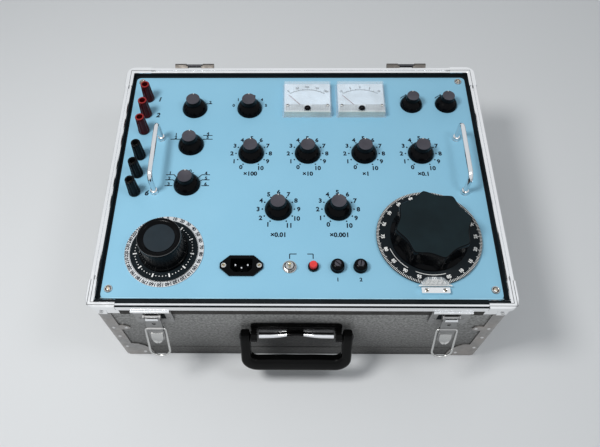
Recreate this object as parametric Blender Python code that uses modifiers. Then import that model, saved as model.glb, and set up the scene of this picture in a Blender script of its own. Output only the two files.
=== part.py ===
"""A transformer ratio bridge in a portable case, open for use.

Metres, +Z up, +X to the right of a person who works the panel, +Y away from them.
Every place on the panel is measured from the centre of the case.
"""

import math

import bmesh
import bpy
from mathutils import Matrix

# Clearances and overlaps
GAP = 0.0003
HOLE_CLEARANCE = 0.0005
OVERRUN = 0.002
EMBED = 0.001
END_PROUD = 0.00025
MERGE_DISTANCE = 0.00001

# Case: a thick-walled tub with a thin lip that the rim caps
CASE_HALF_X = 0.229
CASE_HALF_Y = 0.16915
CASE_HEIGHT = 0.171
CASE_CORNER_RADIUS = 0.006
CASE_WALL = 0.013
CASE_FLOOR = 0.008
CASE_BOTTOM_EDGE = 0.0015
CASE_INNER_RADIUS = 0.004
LIP_THICKNESS = 0.003

# Panel plate, set down inside the rim
PANEL_INSET_X = 0.0085
PANEL_INSET_Y = 0.00835
PANEL_HALF_X = CASE_HALF_X - PANEL_INSET_X
PANEL_HALF_Y = CASE_HALF_Y - PANEL_INSET_Y
PANEL_THICKNESS = 0.003
PANEL_RECESS = 0.0063
PANEL_CORNER_RADIUS = 0.005
PANEL_TOP = CASE_HEIGHT - PANEL_RECESS
PANEL_BOTTOM = PANEL_TOP - PANEL_THICKNESS
LEDGE_TOP = PANEL_BOTTOM - GAP

# Rim: an extruded metal rail with two ridges and a groove, and a cast cap on each corner
RIM_OUTSIDE = 0.0042
RIM_INSIDE = 0.0042
RIM_BEAD_HEIGHT = 0.0068
RIM_BEAD_TAPER = 0.0012
RIM_SKIRT_FACE = 0.0014
RIM_SKIRT_DROP = 0.025
RIM_INNER_DROP = 0.009
RIM_EDGE = 0.0008
RIM_INNER_RIDGE = 0.0029
RIM_GROOVE = 0.0013
RIM_GROOVE_DEPTH = 0.0014
RIM_GROOVE_SLOPE = 0.0003
RIM_CHANNEL_DEPTH = 0.0024
CASTING_LENGTH = 0.032
CASTING_PROUD = 0.0008
CASTING_UNDER = 0.0006
LUG_WIDTH = 0.018
LUG_DROP = 0.026
LUG_PROUD = 0.0008
LUG_STEP = 0.0004

# Metal guards on the upright edges, each one sheet bent round a corner
GUARD_FACE = 0.0014
GUARD_LEG = 0.018
GUARD_BOTTOM = 0.0006
STRAP_LENGTH = 0.030
STRAP_HALF_HEIGHT = 0.007
STRAP_DROP = 0.071
STRAP_Z = CASE_HEIGHT - STRAP_DROP
PROTECTOR_LENGTH = 0.040
PROTECTOR_HEIGHT = 0.043
PROTECTOR_FOOT = 0.012

# Lift-off hinge halves on the back
HINGE_INSET = 0.0853
HINGE_X = CASE_HALF_X - HINGE_INSET
HINGE_WIDTH = 0.0526
HINGE_PLATE_DROP = 0.024
HINGE_PLATE_THICKNESS = 0.0022
HINGE_SHOULDER = 0.0022
HINGE_SHOULDER_HEIGHT = 0.0027
KNUCKLE_RADIUS = 0.0039
KNUCKLE_LENGTH = 0.0172
KNUCKLE_BORE_RADIUS = 0.0016
KNUCKLE_INSET = 0.0003

# Draw latches on the front
LATCH_INSET = 0.064
LATCH_X = CASE_HALF_X - LATCH_INSET
LATCH_PLATE_WIDTH = 0.043
LATCH_PLATE_TOP_DROP = 0.013
LATCH_PLATE_HEIGHT = 0.036
LATCH_PLATE_THICKNESS = 0.0013
LATCH_LEDGE_DEPTH = 0.0024
LATCH_LEDGE_HEIGHT = 0.002
LATCH_PIVOT_DROP = 0.024
LATCH_PIVOT_OUT = 0.0026
CHEEK_INSIDE = 0.0083
CHEEK_THICKNESS = 0.0016
CHEEK_RADIUS = 0.0034
TRUNNION_RADIUS = 0.0015
LEVER_LENGTH = 0.050
LEVER_WIDTH = 0.0175
LEVER_NECK_WIDTH = 0.0156
LEVER_NECK = 0.0065
LEVER_THICKNESS = 0.0015
LEVER_TILT = math.radians(13)
BARREL_RADIUS = 0.0024
HOOK_WINDOW_HALF = 0.0072
HOOK_WINDOW_RISE = 0.0008
HOOK_WINDOW_HEIGHT = 0.007
LEVER_HOLE_RADIUS = 0.0022
LEVER_HOLE_DROP = 0.0135
BAIL_DROP = 0.024
BAIL_LENGTH = 0.050
BAIL_WIDTH = 0.0255
BAIL_WIRE_RADIUS = 0.00125
BAIL_BEND_RADIUS = 0.0105
BAIL_SHOULDER = 0.0025
BAIL_TILT = math.radians(20)
BAIL_GRIP = 0.003
BAIL_BARREL_RADIUS = 0.0027

# Carrying handle on the front
HANDLE_X = -0.005
HANDLE_PLATE_HALF_X = 0.0535
HANDLE_PLATE_HALF_Z = 0.0145
HANDLE_PLATE_DROP = 0.0725
HANDLE_PLATE_Z = CASE_HEIGHT - HANDLE_PLATE_DROP
HANDLE_PLATE_THICKNESS = 0.002
HANDLE_PLATE_RADIUS = 0.006
HANDLE_PIVOT_DROP = 0.006
HANDLE_PIVOT_Z = HANDLE_PLATE_Z - HANDLE_PIVOT_DROP
HANDLE_PIVOT_OUT = 0.0094
HANDLE_LUG_WIDTH = 0.007
HANDLE_LUG_RADIUS = 0.0065
HANDLE_PIN_RADIUS = 0.003
HANDLE_PIN_LENGTH = 0.008
HANDLE_SIDE_GAP = 0.0005
HANDLE_ARM_WIDTH = 0.0125
HANDLE_HEAD_RADIUS = 0.0072
HANDLE_LENGTH = 0.054
HANDLE_GRIP = 0.0182
HANDLE_THICKNESS = 0.013
HANDLE_CORNER_RADIUS = 0.020
HANDLE_INNER_RADIUS = 0.008
HANDLE_EDGE = 0.0028
HANDLE_TILT = math.radians(23)

# Rotary switches: four selectors, six decades and two trimmers. A place is a share of the
# panel's half width or half depth
SHAFT_RADIUS = 0.003
SHAFT_REACH = 0.009
KNOB_HEIGHT = 0.0202
KNOB_SKIRT_RADIUS = 0.0158
KNOB_CAP_RADIUS = 0.0087
KNOB_SKIRT_EDGE = 0.0024
KNOB_CAP_EDGE = 0.0006
TRIM_HEIGHT = 0.0185
TRIM_SKIRT_RADIUS = 0.0141
TRIM_CAP_RADIUS = 0.0078
KNOB_FLARE_SHARES = ((0.15, 0.34), (0.36, 0.16), (0.84, 0.05))
SELECTOR_X_SHARE = -0.62585
SELECTOR_Y_SHARE = 0.66542
SELECTOR_PITCH_SHARE = 0.37002
SELECTOR_SIDE_STEP_SHARE = 0.32517
DECADE_X_SHARE = -0.27982
DECADE_Y_SHARE = 0.21642
DECADE_PITCH_SHARE = 0.31973
FINE_DECADE_X_SHARE = -0.12018
FINE_DECADE_Y_SHARE = -0.28918
TRIM_X_SHARE = 0.6585
TRIM_Y_SHARE = 0.70709
TRIM_PITCH_SHARE = 0.2059

# Terminals down the left edge: three with a socket on top, three plain
POST_INSET = 0.0202
POST_X = POST_INSET - PANEL_HALF_X
POST_Y_SHARE = 0.77239
POST_Y = PANEL_HALF_Y * POST_Y_SHARE
POST_PITCH = 0.0268
POST_GROUP_STEP = 0.0935
POST_HEIGHT = 0.028
POST_RADIUS = 0.00725
POST_TOP_RADIUS = 0.00575
POST_FOOT = 0.003
POST_EDGE = 0.0006
POST_SOCKET_RADIUS = 0.002
POST_SOCKET_DEPTH = 0.006
POST_ROOF = 0.002
STUD_RADIUS = 0.002

# Bow handles that stand on the panel
BOW_LEFT_INSET = 0.0441
BOW_RIGHT_INSET = 0.024
BOW_Y_SHARE = 0.11318
BOW_END_INSET = 0.1205
BOW_LEFT_X = BOW_LEFT_INSET - PANEL_HALF_X
BOW_RIGHT_X = PANEL_HALF_X - BOW_RIGHT_INSET
BOW_Y = PANEL_HALF_Y * BOW_Y_SHARE
BOW_SPAN = 2 * (PANEL_HALF_Y - BOW_END_INSET)
BOW_HEIGHT = 0.035
BOW_ROD_RADIUS = 0.003
BOW_BEND_RADIUS = 0.009
BOW_FERRULE_SHARE = 1.6
BOW_FERRULE_HEIGHT = 0.004
BOW_FERRULE_STEP = 0.0002

# Voltage regulator dial on the left
REGULATOR_X_SHARE = -0.70658
REGULATOR_Y_SHARE = -0.63868
REGULATOR_X = PANEL_HALF_X * REGULATOR_X_SHARE
REGULATOR_Y = PANEL_HALF_Y * REGULATOR_Y_SHARE
RING_RADIUS = 0.0452
RING_THICKNESS = 0.0012
REGULATOR_SHAFT_RADIUS = 0.004
REGULATOR_DISC_RADIUS = 0.0386
REGULATOR_DISC_THICKNESS = 0.001
REGULATOR_BASE_RADIUS = 0.028
REGULATOR_TOP_RADIUS = 0.024
REGULATOR_HEIGHT = 0.0345
REGULATOR_DISH_RADIUS = 0.018
REGULATOR_DISH_DEPTH = 0.0022
REGULATOR_EDGE = 0.0012

# Slide-wire dial on the right, with a fluted knob and a vernier
SLIDE_X_SHARE = 0.6644
SLIDE_INSET = 0.0758
SLIDE_X = PANEL_HALF_X * SLIDE_X_SHARE
SLIDE_Y = SLIDE_INSET - PANEL_HALF_Y
SLIDE_DISC_RADIUS = 0.0602
SLIDE_DISC_THICKNESS = 0.002
SLIDE_DISC_LIFT = 0.0018
SLIDE_DISC_HUB_RADIUS = 0.012
SLIDE_SHAFT_RADIUS = 0.004
SLIDE_KNOB_HEIGHT = 0.034
SLIDE_KNOB_RADIUS = 0.0445
SLIDE_KNOB_FLUTE = 0.0055
SLIDE_KNOB_LOBES = 8
SLIDE_KNOB_POINTS = 48
SLIDE_KNOB_DISH_DEPTH = 0.0015
SLIDE_KNOB_SHARES = ((0.985, 0.0), (1.0, 0.06), (0.975, 0.92), (0.945, 1.0))
SLIDE_KNOB_DISH_SHARES = (0.82, 0.72)
VERNIER_OUT = 0.0668
VERNIER_HALF_X = 0.0155
VERNIER_HALF_Y = 0.0037
VERNIER_HEIGHT = 0.005
VERNIER_STEP = 0.0014
VERNIER_RADIUS = 0.0008

# Panel meters
METER_FOOT_HALF_X = 0.0325
METER_SPACE = 0.0049
METER_MIDDLE_SHARE = 0.20023
METER_INSET = 0.0412
METER_PITCH = 2 * METER_FOOT_HALF_X + METER_SPACE
METER_X = PANEL_HALF_X * METER_MIDDLE_SHARE - METER_PITCH / 2
METER_Y = PANEL_HALF_Y - METER_INSET
METER_FOOT_HALF_Y = 0.028
METER_TOP_HALF_X = 0.0305
METER_TOP_HALF_Y = 0.0266
METER_TOP_SHIFT = 0.0009
METER_HEIGHT = 0.0115
METER_WALL = 0.0015
METER_CORNER_RADIUS = 0.0015
METER_EDGE = 0.0006
METER_DIAL_HEIGHT = 0.005
METER_BARREL_RADIUS = 0.019
METER_BARREL_DEPTH = 0.030
NEEDLE_PIVOT_DROP = 0.0212
NEEDLE_PIVOT_Y = METER_Y - NEEDLE_PIVOT_DROP
NEEDLE_HUB_RADIUS = 0.0022
NEEDLE_HUB_HEIGHT = 0.0024
NEEDLE_LENGTH = 0.030
NEEDLE_TAIL = 0.004
NEEDLE_WIDTH = 0.0008
NEEDLE_THICKNESS = 0.0006
NEEDLE_LIFT = 0.0009
NEEDLE_REST = math.radians(42)
ZERO_HEAD_RADIUS = 0.0036
ZERO_FLANGE_RADIUS = 0.0046
ZERO_FLANGE_THICKNESS = 0.001
ZERO_PROUD = 0.0008
ZERO_SLOT_WIDTH = 0.0009
ZERO_SLOT_DEPTH = 0.0009

# Mains inlet
INLET_X_SHARE = -0.3034
INLET_INSET = 0.0392
INLET_X = PANEL_HALF_X * INLET_X_SHARE
INLET_Y = INLET_INSET - PANEL_HALF_Y
INLET_HALF_X = 0.0242
INLET_HALF_Y = 0.0125
INLET_FLAT_HALF_X = 0.0135
INLET_END_HALF_Y = 0.003
INLET_FLANGE = 0.0028
INLET_BODY_HALF_X = 0.0143
INLET_BODY_HALF_Y = 0.0105
INLET_BODY_DEPTH = 0.019
INLET_CAVITY_HALF_X = 0.0123
INLET_CAVITY_HALF_Y = 0.0084
INLET_CAVITY_BEVEL = 0.0048
INLET_CAVITY_DEPTH = 0.017
INLET_PIN_HALF_X = 0.001
INLET_PIN_HALF_Y = 0.002
INLET_PIN_LENGTH = 0.0115
INLET_PIN_SPREAD = 0.007
INLET_PIN_OFFSET = 0.002
INLET_RADIUS = 0.001

# Toggle switch, push button and fuses
SERVICE_INSET = 0.0383
SERVICE_Y = SERVICE_INSET - PANEL_HALF_Y
TOGGLE_X_SHARE = -0.0585
TOGGLE_X = PANEL_HALF_X * TOGGLE_X_SHARE
TOGGLE_WASHER_RADIUS = 0.0079
TOGGLE_WASHER_THICKNESS = 0.001
TOGGLE_NUT_RADIUS = 0.0064
TOGGLE_NUT_HEIGHT = 0.0032
TOGGLE_SLEEVE_RADIUS = 0.0045
TOGGLE_SLEEVE_HEIGHT = 0.0062
TOGGLE_BORE_RADIUS = 0.0026
TOGGLE_PIVOT_HEIGHT = 0.0030
TOGGLE_BALL_RADIUS = 0.0021
TOGGLE_STEM_RADIUS = 0.0013
TOGGLE_TIP_RADIUS = 0.0023
TOGGLE_TIP_SHARES = ((0, 0), (0.7, 0.3), (1, 1))
TOGGLE_BALL_ANGLES = (40, 65, 90, 120, 150)
TOGGLE_LENGTH = 0.0125
TOGGLE_TILT = math.radians(12)
BUTTON_X_SHARE = 0.06213
BUTTON_X = PANEL_HALF_X * BUTTON_X_SHARE
BEZEL_RADIUS = 0.0061
BEZEL_HEIGHT = 0.0042
BEZEL_EDGE = 0.0007
BEZEL_SLEEVE_RADIUS = 0.0057
BUTTON_RADIUS = 0.0044
BUTTON_HEIGHT = 0.0089
BUTTON_EDGE = 0.0008
BUTTON_TRAVEL = 0.003
BUTTON_REACH = 0.006
FUSE_X_SHARE = 0.18458
FUSE_X = PANEL_HALF_X * FUSE_X_SHARE
FUSE_PITCH = 0.0256
FUSE_RADIUS = 0.008
FUSE_HEIGHT = 0.011
FUSE_DOME_SHARES = ((0.45, 0.98), (0.78, 0.84), (0.95, 0.55), (1.0, 0.2))
FUSE_STEM_RADIUS = 0.005
FUSE_STEM_REACH = 0.012
FUSE_TUBE_WALL = 0.0015

# Inside: a deck under the panel that carries the switches, and two wound cores
DECK_SIDE_SPACE = 0.0065
DECK_END_SPACE = 0.01615
DECK_DROP = 0.0327
DECK_HALF_X = CASE_HALF_X - CASE_WALL - DECK_SIDE_SPACE
DECK_HALF_Y = CASE_HALF_Y - CASE_WALL - DECK_END_SPACE
DECK_TOP = PANEL_BOTTOM - DECK_DROP
DECK_THICKNESS = 0.003
DECK_RADIUS = 0.003
DRUM_RADIUS = 0.0125
SWITCH_BODY_RADIUS = 0.0085
HUB_RADIUS = 0.009
FORMER_RADIUS = 0.046
FORMER_WALL = 0.006
FORMER_HEIGHT = 0.014
CORE_SIDE_SPACE = 0.00345
CORE_SIDE_ROOM = CASE_HALF_X - CASE_WALL + REGULATOR_X
CORE_END_ROOM = CASE_HALF_Y - CASE_WALL + REGULATOR_Y
CORE_RADIUS = min(CORE_SIDE_ROOM, CORE_END_ROOM) - CORE_SIDE_SPACE
CORE_INNER_RADIUS = 0.026
CORE_HEIGHT = 0.050
CORE_BOSS_RADIUS = 0.014
CORE_ARM = 0.006
CORE_SHAFT_REACH = 0.046
TRANSFORMER_X = 0.030
TRANSFORMER_Y = 0.010
TRANSFORMER_RADIUS = 0.070
TRANSFORMER_INNER_RADIUS = 0.024
TRANSFORMER_HEIGHT = 0.052
TRANSFORMER_EDGE = 0.008

# How finely round things are divided
CORNER_STEPS = 3
KNOB_SIDES = 16
HOLE_SIDES = 10
DIAL_SIDES = 36
SHADE_ANGLE = math.radians(35)
BEVEL_ANGLE = math.radians(52)

# Places that follow from the sizes above
HINGE_AXIS_Y = CASE_HALF_Y + RIM_OUTSIDE + GAP + KNUCKLE_RADIUS
HINGE_AXIS_Z = CASE_HEIGHT - KNUCKLE_RADIUS
HANDLE_PIVOT_Y = -(CASE_HALF_Y + HANDLE_PIVOT_OUT)
LATCH_BACK_Y = -(CASE_HALF_Y + RIM_SKIRT_FACE + GAP)
LATCH_PIVOT_Y = LATCH_BACK_Y - LATCH_PLATE_THICKNESS - LATCH_PIVOT_OUT
LATCH_PIVOT_Z = CASE_HEIGHT - LATCH_PIVOT_DROP
BACK_REACH = HINGE_AXIS_Y + KNUCKLE_RADIUS
FRONT_REACH = (-HANDLE_PIVOT_Y + HANDLE_LENGTH * math.sin(HANDLE_TILT)
               + (HANDLE_THICKNESS / 2) * math.cos(HANDLE_TILT) - HANDLE_EDGE / 2)
CASE_CENTRE_Y = (FRONT_REACH - BACK_REACH) / 2
DECK_BOTTOM = DECK_TOP - DECK_THICKNESS
SOCKET_TOP = PANEL_BOTTOM - GAP
SHAFT_BOTTOM = PANEL_BOTTOM - SHAFT_REACH


def clear_scene():
    for item in list(bpy.data.objects):
        bpy.data.objects.remove(item, do_unlink=True)


def new_collection(name):
    found = bpy.data.collections.new(name)
    bpy.context.scene.collection.children.link(found)
    return found


clear_scene()
PIECES = new_collection("transformer_ratio_bridge")
TOOLS = new_collection("cutters")
FRAME = bpy.data.objects.new("case_centre", None)
FRAME.location = (0, CASE_CENTRE_Y, 0)
PIECES.objects.link(FRAME)


# Materials
def paint(name, colour, roughness, metallic=0.0):
    shade = bpy.data.materials.new(name)
    shade.use_nodes = True
    surface = shade.node_tree.nodes["Principled BSDF"]
    surface.inputs["Base Color"].default_value = (*colour, 1.0)
    surface.inputs["Roughness"].default_value = roughness
    surface.inputs["Metallic"].default_value = metallic
    return shade


def bright_metal(name):
    return paint(name, (0.72, 0.72, 0.70), 0.25, 1.0)


def dull_metal(name):
    return paint(name, (0.62, 0.62, 0.60), 0.40, 1.0)


def black_plastic(name):
    return paint(name, (0.018, 0.019, 0.022), 0.35)


# Outlines and points
def arc(centre_u, centre_v, radius, start, end, steps):
    """Points along an arc, with both ends."""
    turns = [start + (end - start) * step / steps for step in range(steps + 1)]
    return [(centre_u + radius * math.cos(turn), centre_v + radius * math.sin(turn)) for turn in turns]


def rounded_outline(half_u, half_v, radius, steps=CORNER_STEPS, centre_u=0.0, centre_v=0.0):
    """A rectangle with round corners, anticlockwise from its right side."""
    points = []
    for quarter, (side_u, side_v) in enumerate(((1, 1), (-1, 1), (-1, -1), (1, -1))):
        start = quarter * math.pi / 2
        corner_u = centre_u + side_u * (half_u - radius)
        corner_v = centre_v + side_v * (half_v - radius)
        points += arc(corner_u, corner_v, radius, start, start + math.pi / 2, steps)
    return points


def at_height(outline, height):
    return [(u, v, height) for u, v in outline]


# Meshes
def mesh_through(name, loops, ring=False):
    """A skin through loops of equal count, closed on itself or with a cap at each end."""
    build = bmesh.new()
    rows = [[build.verts.new(point) for point in loop] for loop in loops]
    pairs = list(zip(rows, rows[1:]))
    if ring:
        pairs.append((rows[-1], rows[0]))
    else:
        build.faces.new(rows[0])
        build.faces.new(rows[-1])
    for low, high in pairs:
        for here in range(len(low)):
            after = (here + 1) % len(low)
            build.faces.new((low[here], low[after], high[after], high[here]))
    bmesh.ops.recalc_face_normals(build, faces=build.faces)
    mesh = bpy.data.meshes.new(name)
    build.to_mesh(mesh)
    build.free()
    mesh.shade_smooth()
    mesh.set_sharp_from_angle(angle=SHADE_ANGLE)
    return mesh


def prism_mesh(name, outline, low, high, normal="z"):
    """A flat outline given a thickness from low to high along one axis."""
    places = {
        "x": lambda u, v, w: (w, u, v),
        "y": lambda u, v, w: (u, w, v),
        "z": lambda u, v, w: (u, v, w),
    }
    put = places[normal]
    return mesh_through(name, [[put(u, v, level) for u, v in outline] for level in (low, high)])


def block_mesh(name, low_corner, high_corner):
    build = bmesh.new()
    bmesh.ops.create_cube(build, size=1.0)
    sizes = [high - low for low, high in zip(low_corner, high_corner)]
    centre = [(high + low) / 2 for low, high in zip(low_corner, high_corner)]
    grow = Matrix.Diagonal((*sizes, 1.0))
    bmesh.ops.transform(build, matrix=Matrix.Translation(centre) @ grow, verts=build.verts)
    mesh = bpy.data.meshes.new(name)
    build.to_mesh(mesh)
    build.free()
    return mesh


def rod_mesh(name, radius, low, high, sides=HOLE_SIDES, axis="z", place=(0, 0, 0)):
    """A cylinder from low to high along an axis through a place."""
    turns = {
        "x": Matrix.Rotation(math.pi / 2, 4, "Y"),
        "y": Matrix.Rotation(-math.pi / 2, 4, "X"),
        "z": Matrix.Identity(4),
    }
    slide = Matrix.Translation((0, 0, (low + high) / 2))
    build = bmesh.new()
    bmesh.ops.create_cone(build, cap_ends=True, segments=sides, radius1=radius, radius2=radius,
                          depth=high - low, matrix=Matrix.Translation(place) @ turns[axis] @ slide)
    mesh = bpy.data.meshes.new(name)
    build.to_mesh(mesh)
    build.free()
    return mesh


# Objects
def add_piece(name, mesh, shade, place=(0, 0, 0), turn=(0, 0, 0)):
    item = bpy.data.objects.new(name, mesh)
    item.parent = FRAME
    item.location = place
    item.rotation_euler = turn
    mesh.materials.append(shade)
    PIECES.objects.link(item)
    return item


def add_turned(name, profile, shade, place=(0, 0, 0), sides=KNOB_SIDES, turn=(0, 0, 0), ring=False):
    """A profile of radius and height, from the top down the outer side, turned about Z."""
    mesh = bpy.data.meshes.new(name)
    edges = [(at, at + 1) for at in range(len(profile) - 1)]
    if ring:
        edges.append((len(profile) - 1, 0))
    mesh.from_pydata([(radius, 0, height) for radius, height in profile], edges, [])
    item = add_piece(name, mesh, shade, place, turn)
    screw = item.modifiers.new("turned", "SCREW")
    screw.steps = sides
    screw.render_steps = sides
    screw.use_merge_vertices = True
    screw.merge_threshold = MERGE_DISTANCE
    screw.use_smooth_shade = True
    return item


def add_tube(name, points, radius, shade, place, turn=(0, 0, 0), sizes=None):
    """A round rod along points, with a share of its radius at each point."""
    curve = bpy.data.curves.new(name, "CURVE")
    curve.dimensions = "3D"
    curve.bevel_depth = radius
    curve.bevel_resolution = 2
    curve.use_fill_caps = True
    spline = curve.splines.new("POLY")
    spline.points.add(len(points) - 1)
    for at, point in enumerate(points):
        spline.points[at].co = (*point, 1.0)
        spline.points[at].radius = sizes[at] if sizes else 1.0
    curve.materials.append(shade)
    item = bpy.data.objects.new(name, curve)
    item.parent = FRAME
    item.location = place
    item.rotation_euler = turn
    PIECES.objects.link(item)
    return item


def combine(item, meshes, operation, label):
    """One Boolean of an object with a set of meshes that share its place and turn."""
    kept = bpy.data.collections.new(f"{item.name}_{label}")
    TOOLS.children.link(kept)
    for count, mesh in enumerate(meshes):
        tool = bpy.data.objects.new(f"{item.name}_{label}_{count}", mesh)
        tool.parent = item.parent
        tool.location = item.location
        tool.rotation_euler = item.rotation_euler
        tool.hide_render = True
        tool.display_type = "WIRE"
        kept.objects.link(tool)
    change = item.modifiers.new(label, "BOOLEAN")
    change.operation = operation
    change.solver = "EXACT"
    change.operand_type = "COLLECTION"
    change.collection = kept


def join(item, meshes, label="joined"):
    combine(item, meshes, "UNION", label)


def cut(item, meshes, label="cuts"):
    combine(item, meshes, "DIFFERENCE", label)


# The case
def case_loop(outward, height, radius=None):
    """A level loop that lies this far outside the tub's outer face."""
    corner = CASE_CORNER_RADIUS + outward if radius is None else radius
    return at_height(rounded_outline(CASE_HALF_X + outward, CASE_HALF_Y + outward, corner), height)


def make_tub():
    lip_top = CASE_HEIGHT - RIM_CHANNEL_DEPTH - GAP
    loops = [
        case_loop(-CASE_BOTTOM_EDGE, 0),
        case_loop(0, CASE_BOTTOM_EDGE),
        case_loop(0, lip_top),
        case_loop(-LIP_THICKNESS, lip_top),
        case_loop(-LIP_THICKNESS, LEDGE_TOP),
        case_loop(-CASE_WALL, LEDGE_TOP, CASE_INNER_RADIUS),
        case_loop(-CASE_WALL, CASE_FLOOR, CASE_INNER_RADIUS),
    ]
    covering = paint("case_covering", (0.22, 0.22, 0.21), 0.50, 0.4)
    add_piece("case_tub", mesh_through("case_tub", loops), covering)


def rim_profile():
    """Outward distance and height of the rail's section, round from its top outer edge."""
    top = CASE_HEIGHT
    bead_low = top - RIM_BEAD_HEIGHT
    channel = top - RIM_CHANNEL_DEPTH
    skirt_low = top - RIM_SKIRT_DROP
    inner_low = top - RIM_INNER_DROP
    ridge_end = -RIM_INSIDE + RIM_INNER_RIDGE
    return [
        (RIM_OUTSIDE - RIM_EDGE, top),
        (RIM_OUTSIDE, top - RIM_EDGE),
        (RIM_OUTSIDE, bead_low),
        (RIM_SKIRT_FACE, bead_low - RIM_BEAD_TAPER),
        (RIM_SKIRT_FACE, skirt_low),
        (GAP, skirt_low),
        (GAP, channel),
        (-LIP_THICKNESS - GAP, channel),
        (-LIP_THICKNESS - GAP, inner_low),
        (-RIM_INSIDE, inner_low),
        (-RIM_INSIDE, top - RIM_EDGE),
        (-RIM_INSIDE + RIM_EDGE, top),
        (ridge_end, top),
        (ridge_end + RIM_GROOVE_SLOPE, top - RIM_GROOVE_DEPTH),
        (ridge_end + RIM_GROOVE - RIM_GROOVE_SLOPE, top - RIM_GROOVE_DEPTH),
        (ridge_end + RIM_GROOVE, top),
    ]


def casting_section(low):
    """The casting's section, which stands proud of the rail and keeps inside it underneath."""
    top = CASE_HEIGHT + CASTING_PROUD
    outer = RIM_OUTSIDE + CASTING_PROUD
    inner = -RIM_INSIDE - CASTING_PROUD
    lug_face = RIM_SKIRT_FACE + LUG_PROUD
    bead_low = CASE_HEIGHT - RIM_BEAD_HEIGHT - CASTING_PROUD
    in_skirt = (RIM_SKIRT_FACE + GAP) / 2
    in_flange = -(RIM_INSIDE + LIP_THICKNESS + GAP) / 2
    in_roof = CASE_HEIGHT - (RIM_CHANNEL_DEPTH + RIM_GROOVE_DEPTH) / 2
    flange_low = CASE_HEIGHT - RIM_INNER_DROP + EMBED
    return [
        (outer, top - RIM_EDGE),
        (outer - RIM_EDGE, top),
        (inner + RIM_EDGE, top),
        (inner, top - RIM_EDGE),
        (inner, flange_low),
        (in_flange, flange_low),
        (in_flange, in_roof),
        (in_skirt, in_roof),
        (in_skirt, low),
        (lug_face, low),
        (lug_face, bead_low - RIM_BEAD_TAPER),
        (outer, bead_low),
    ]


def casting_mesh(side_x, side_y):
    """A cap over one corner of the rim: straight, then round the corner, then straight."""
    centre_x = CASE_HALF_X - CASE_CORNER_RADIUS
    centre_y = CASE_HALF_Y - CASE_CORNER_RADIUS
    short = CASE_HEIGHT - RIM_BEAD_HEIGHT - RIM_BEAD_TAPER - CASTING_PROUD - CASTING_UNDER
    long = CASE_HEIGHT - LUG_DROP
    runs = [(CASTING_LENGTH, short), (LUG_WIDTH + LUG_STEP, short), (LUG_WIDTH, long)]
    loops = []
    for back, low in runs:
        along = CASE_HALF_X + RIM_OUTSIDE - back
        loops.append([(along, CASE_HALF_Y + out, z) for out, z in casting_section(low)])
    for step in range(CORNER_STEPS + 1):
        turn = math.pi / 2 * (1 - step / CORNER_STEPS)
        loop = []
        for out, z in casting_section(long):
            reach = CASE_CORNER_RADIUS + out
            loop.append((centre_x + reach * math.cos(turn), centre_y + reach * math.sin(turn), z))
        loops.append(loop)
    for back, low in reversed(runs):
        along = CASE_HALF_Y + RIM_OUTSIDE - back
        loops.append([(CASE_HALF_X + out, along, z) for out, z in casting_section(low)])
    flipped = [[(side_x * x, side_y * y, z) for x, y, z in loop] for loop in loops]
    return mesh_through("corner_casting", flipped)


def make_rim():
    loops = [case_loop(out, z) for out, z in rim_profile()]
    rim = add_piece("rim_frame", mesh_through("rim_frame", loops, ring=True), bright_metal("rim_metal"))
    join(rim, [casting_mesh(side_x, side_y) for side_x in (-1, 1) for side_y in (-1, 1)], "castings")


def guard_leg(run_to_corner):
    """Outline of one leg of a guard: distance from the bend, and height."""
    leg = GUARD_LEG - run_to_corner
    strap = STRAP_LENGTH - run_to_corner
    foot = PROTECTOR_LENGTH - run_to_corner
    top = CASE_HEIGHT - LUG_DROP - GAP
    strap_low = STRAP_Z - STRAP_HALF_HEIGHT
    quarter = math.pi / 2
    sweep = [(turn * quarter / 4) for turn in range(5)]
    toe = [(leg + (foot - leg) * math.cos(turn),
            PROTECTOR_FOOT + (PROTECTOR_HEIGHT - PROTECTOR_FOOT) * math.sin(turn)) for turn in sweep]
    tongue = arc(strap - STRAP_HALF_HEIGHT, STRAP_Z, STRAP_HALF_HEIGHT, -quarter, quarter, 4)
    return [(0, GUARD_BOTTOM), (foot, GUARD_BOTTOM), *toe, (leg, strap_low), *tongue,
            (leg, STRAP_Z + STRAP_HALF_HEIGHT), (leg, top), (0, top)]


def make_guard(name, side_x, side_y):
    """One bent sheet: two flat legs with a round bend between them."""
    centre_x = CASE_HALF_X - CASE_CORNER_RADIUS
    centre_y = CASE_HALF_Y - CASE_CORNER_RADIUS
    outline = guard_leg(CASE_CORNER_RADIUS + GUARD_FACE)
    low, high = outline[0][1], outline[-1][1]
    build = bmesh.new()
    skins = []
    for out in (GUARD_FACE, GAP):
        radius = CASE_CORNER_RADIUS + out
        leg_x = [build.verts.new((centre_x - s, centre_y + radius, z)) for s, z in outline]
        leg_y = [build.verts.new((centre_x + radius, centre_y - s, z)) for s, z in outline]
        columns = [(leg_x[0], leg_x[-1])]
        for x, y in arc(centre_x, centre_y, radius, math.pi / 2, 0, CORNER_STEPS)[1:-1]:
            columns.append((build.verts.new((x, y, low)), build.verts.new((x, y, high))))
        columns.append((leg_y[0], leg_y[-1]))
        build.faces.new(leg_x)
        build.faces.new(leg_y)
        for left, right in zip(columns, columns[1:]):
            build.faces.new((left[0], right[0], right[1], left[1]))
        bottoms = [column[0] for column in columns]
        tops = [column[1] for column in columns]
        skins.append(leg_x[1:] + tops[1:] + leg_y[-2:0:-1] + bottoms[::-1])
    for at in range(len(skins[0])):
        after = (at + 1) % len(skins[0])
        build.faces.new((skins[0][at], skins[0][after], skins[1][after], skins[1][at]))
    bmesh.ops.scale(build, vec=(side_x, side_y, 1), verts=build.verts)
    bmesh.ops.recalc_face_normals(build, faces=build.faces)
    mesh = bpy.data.meshes.new(name)
    build.to_mesh(mesh)
    build.free()
    add_piece(name, mesh, bright_metal("guard_metal"))


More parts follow.
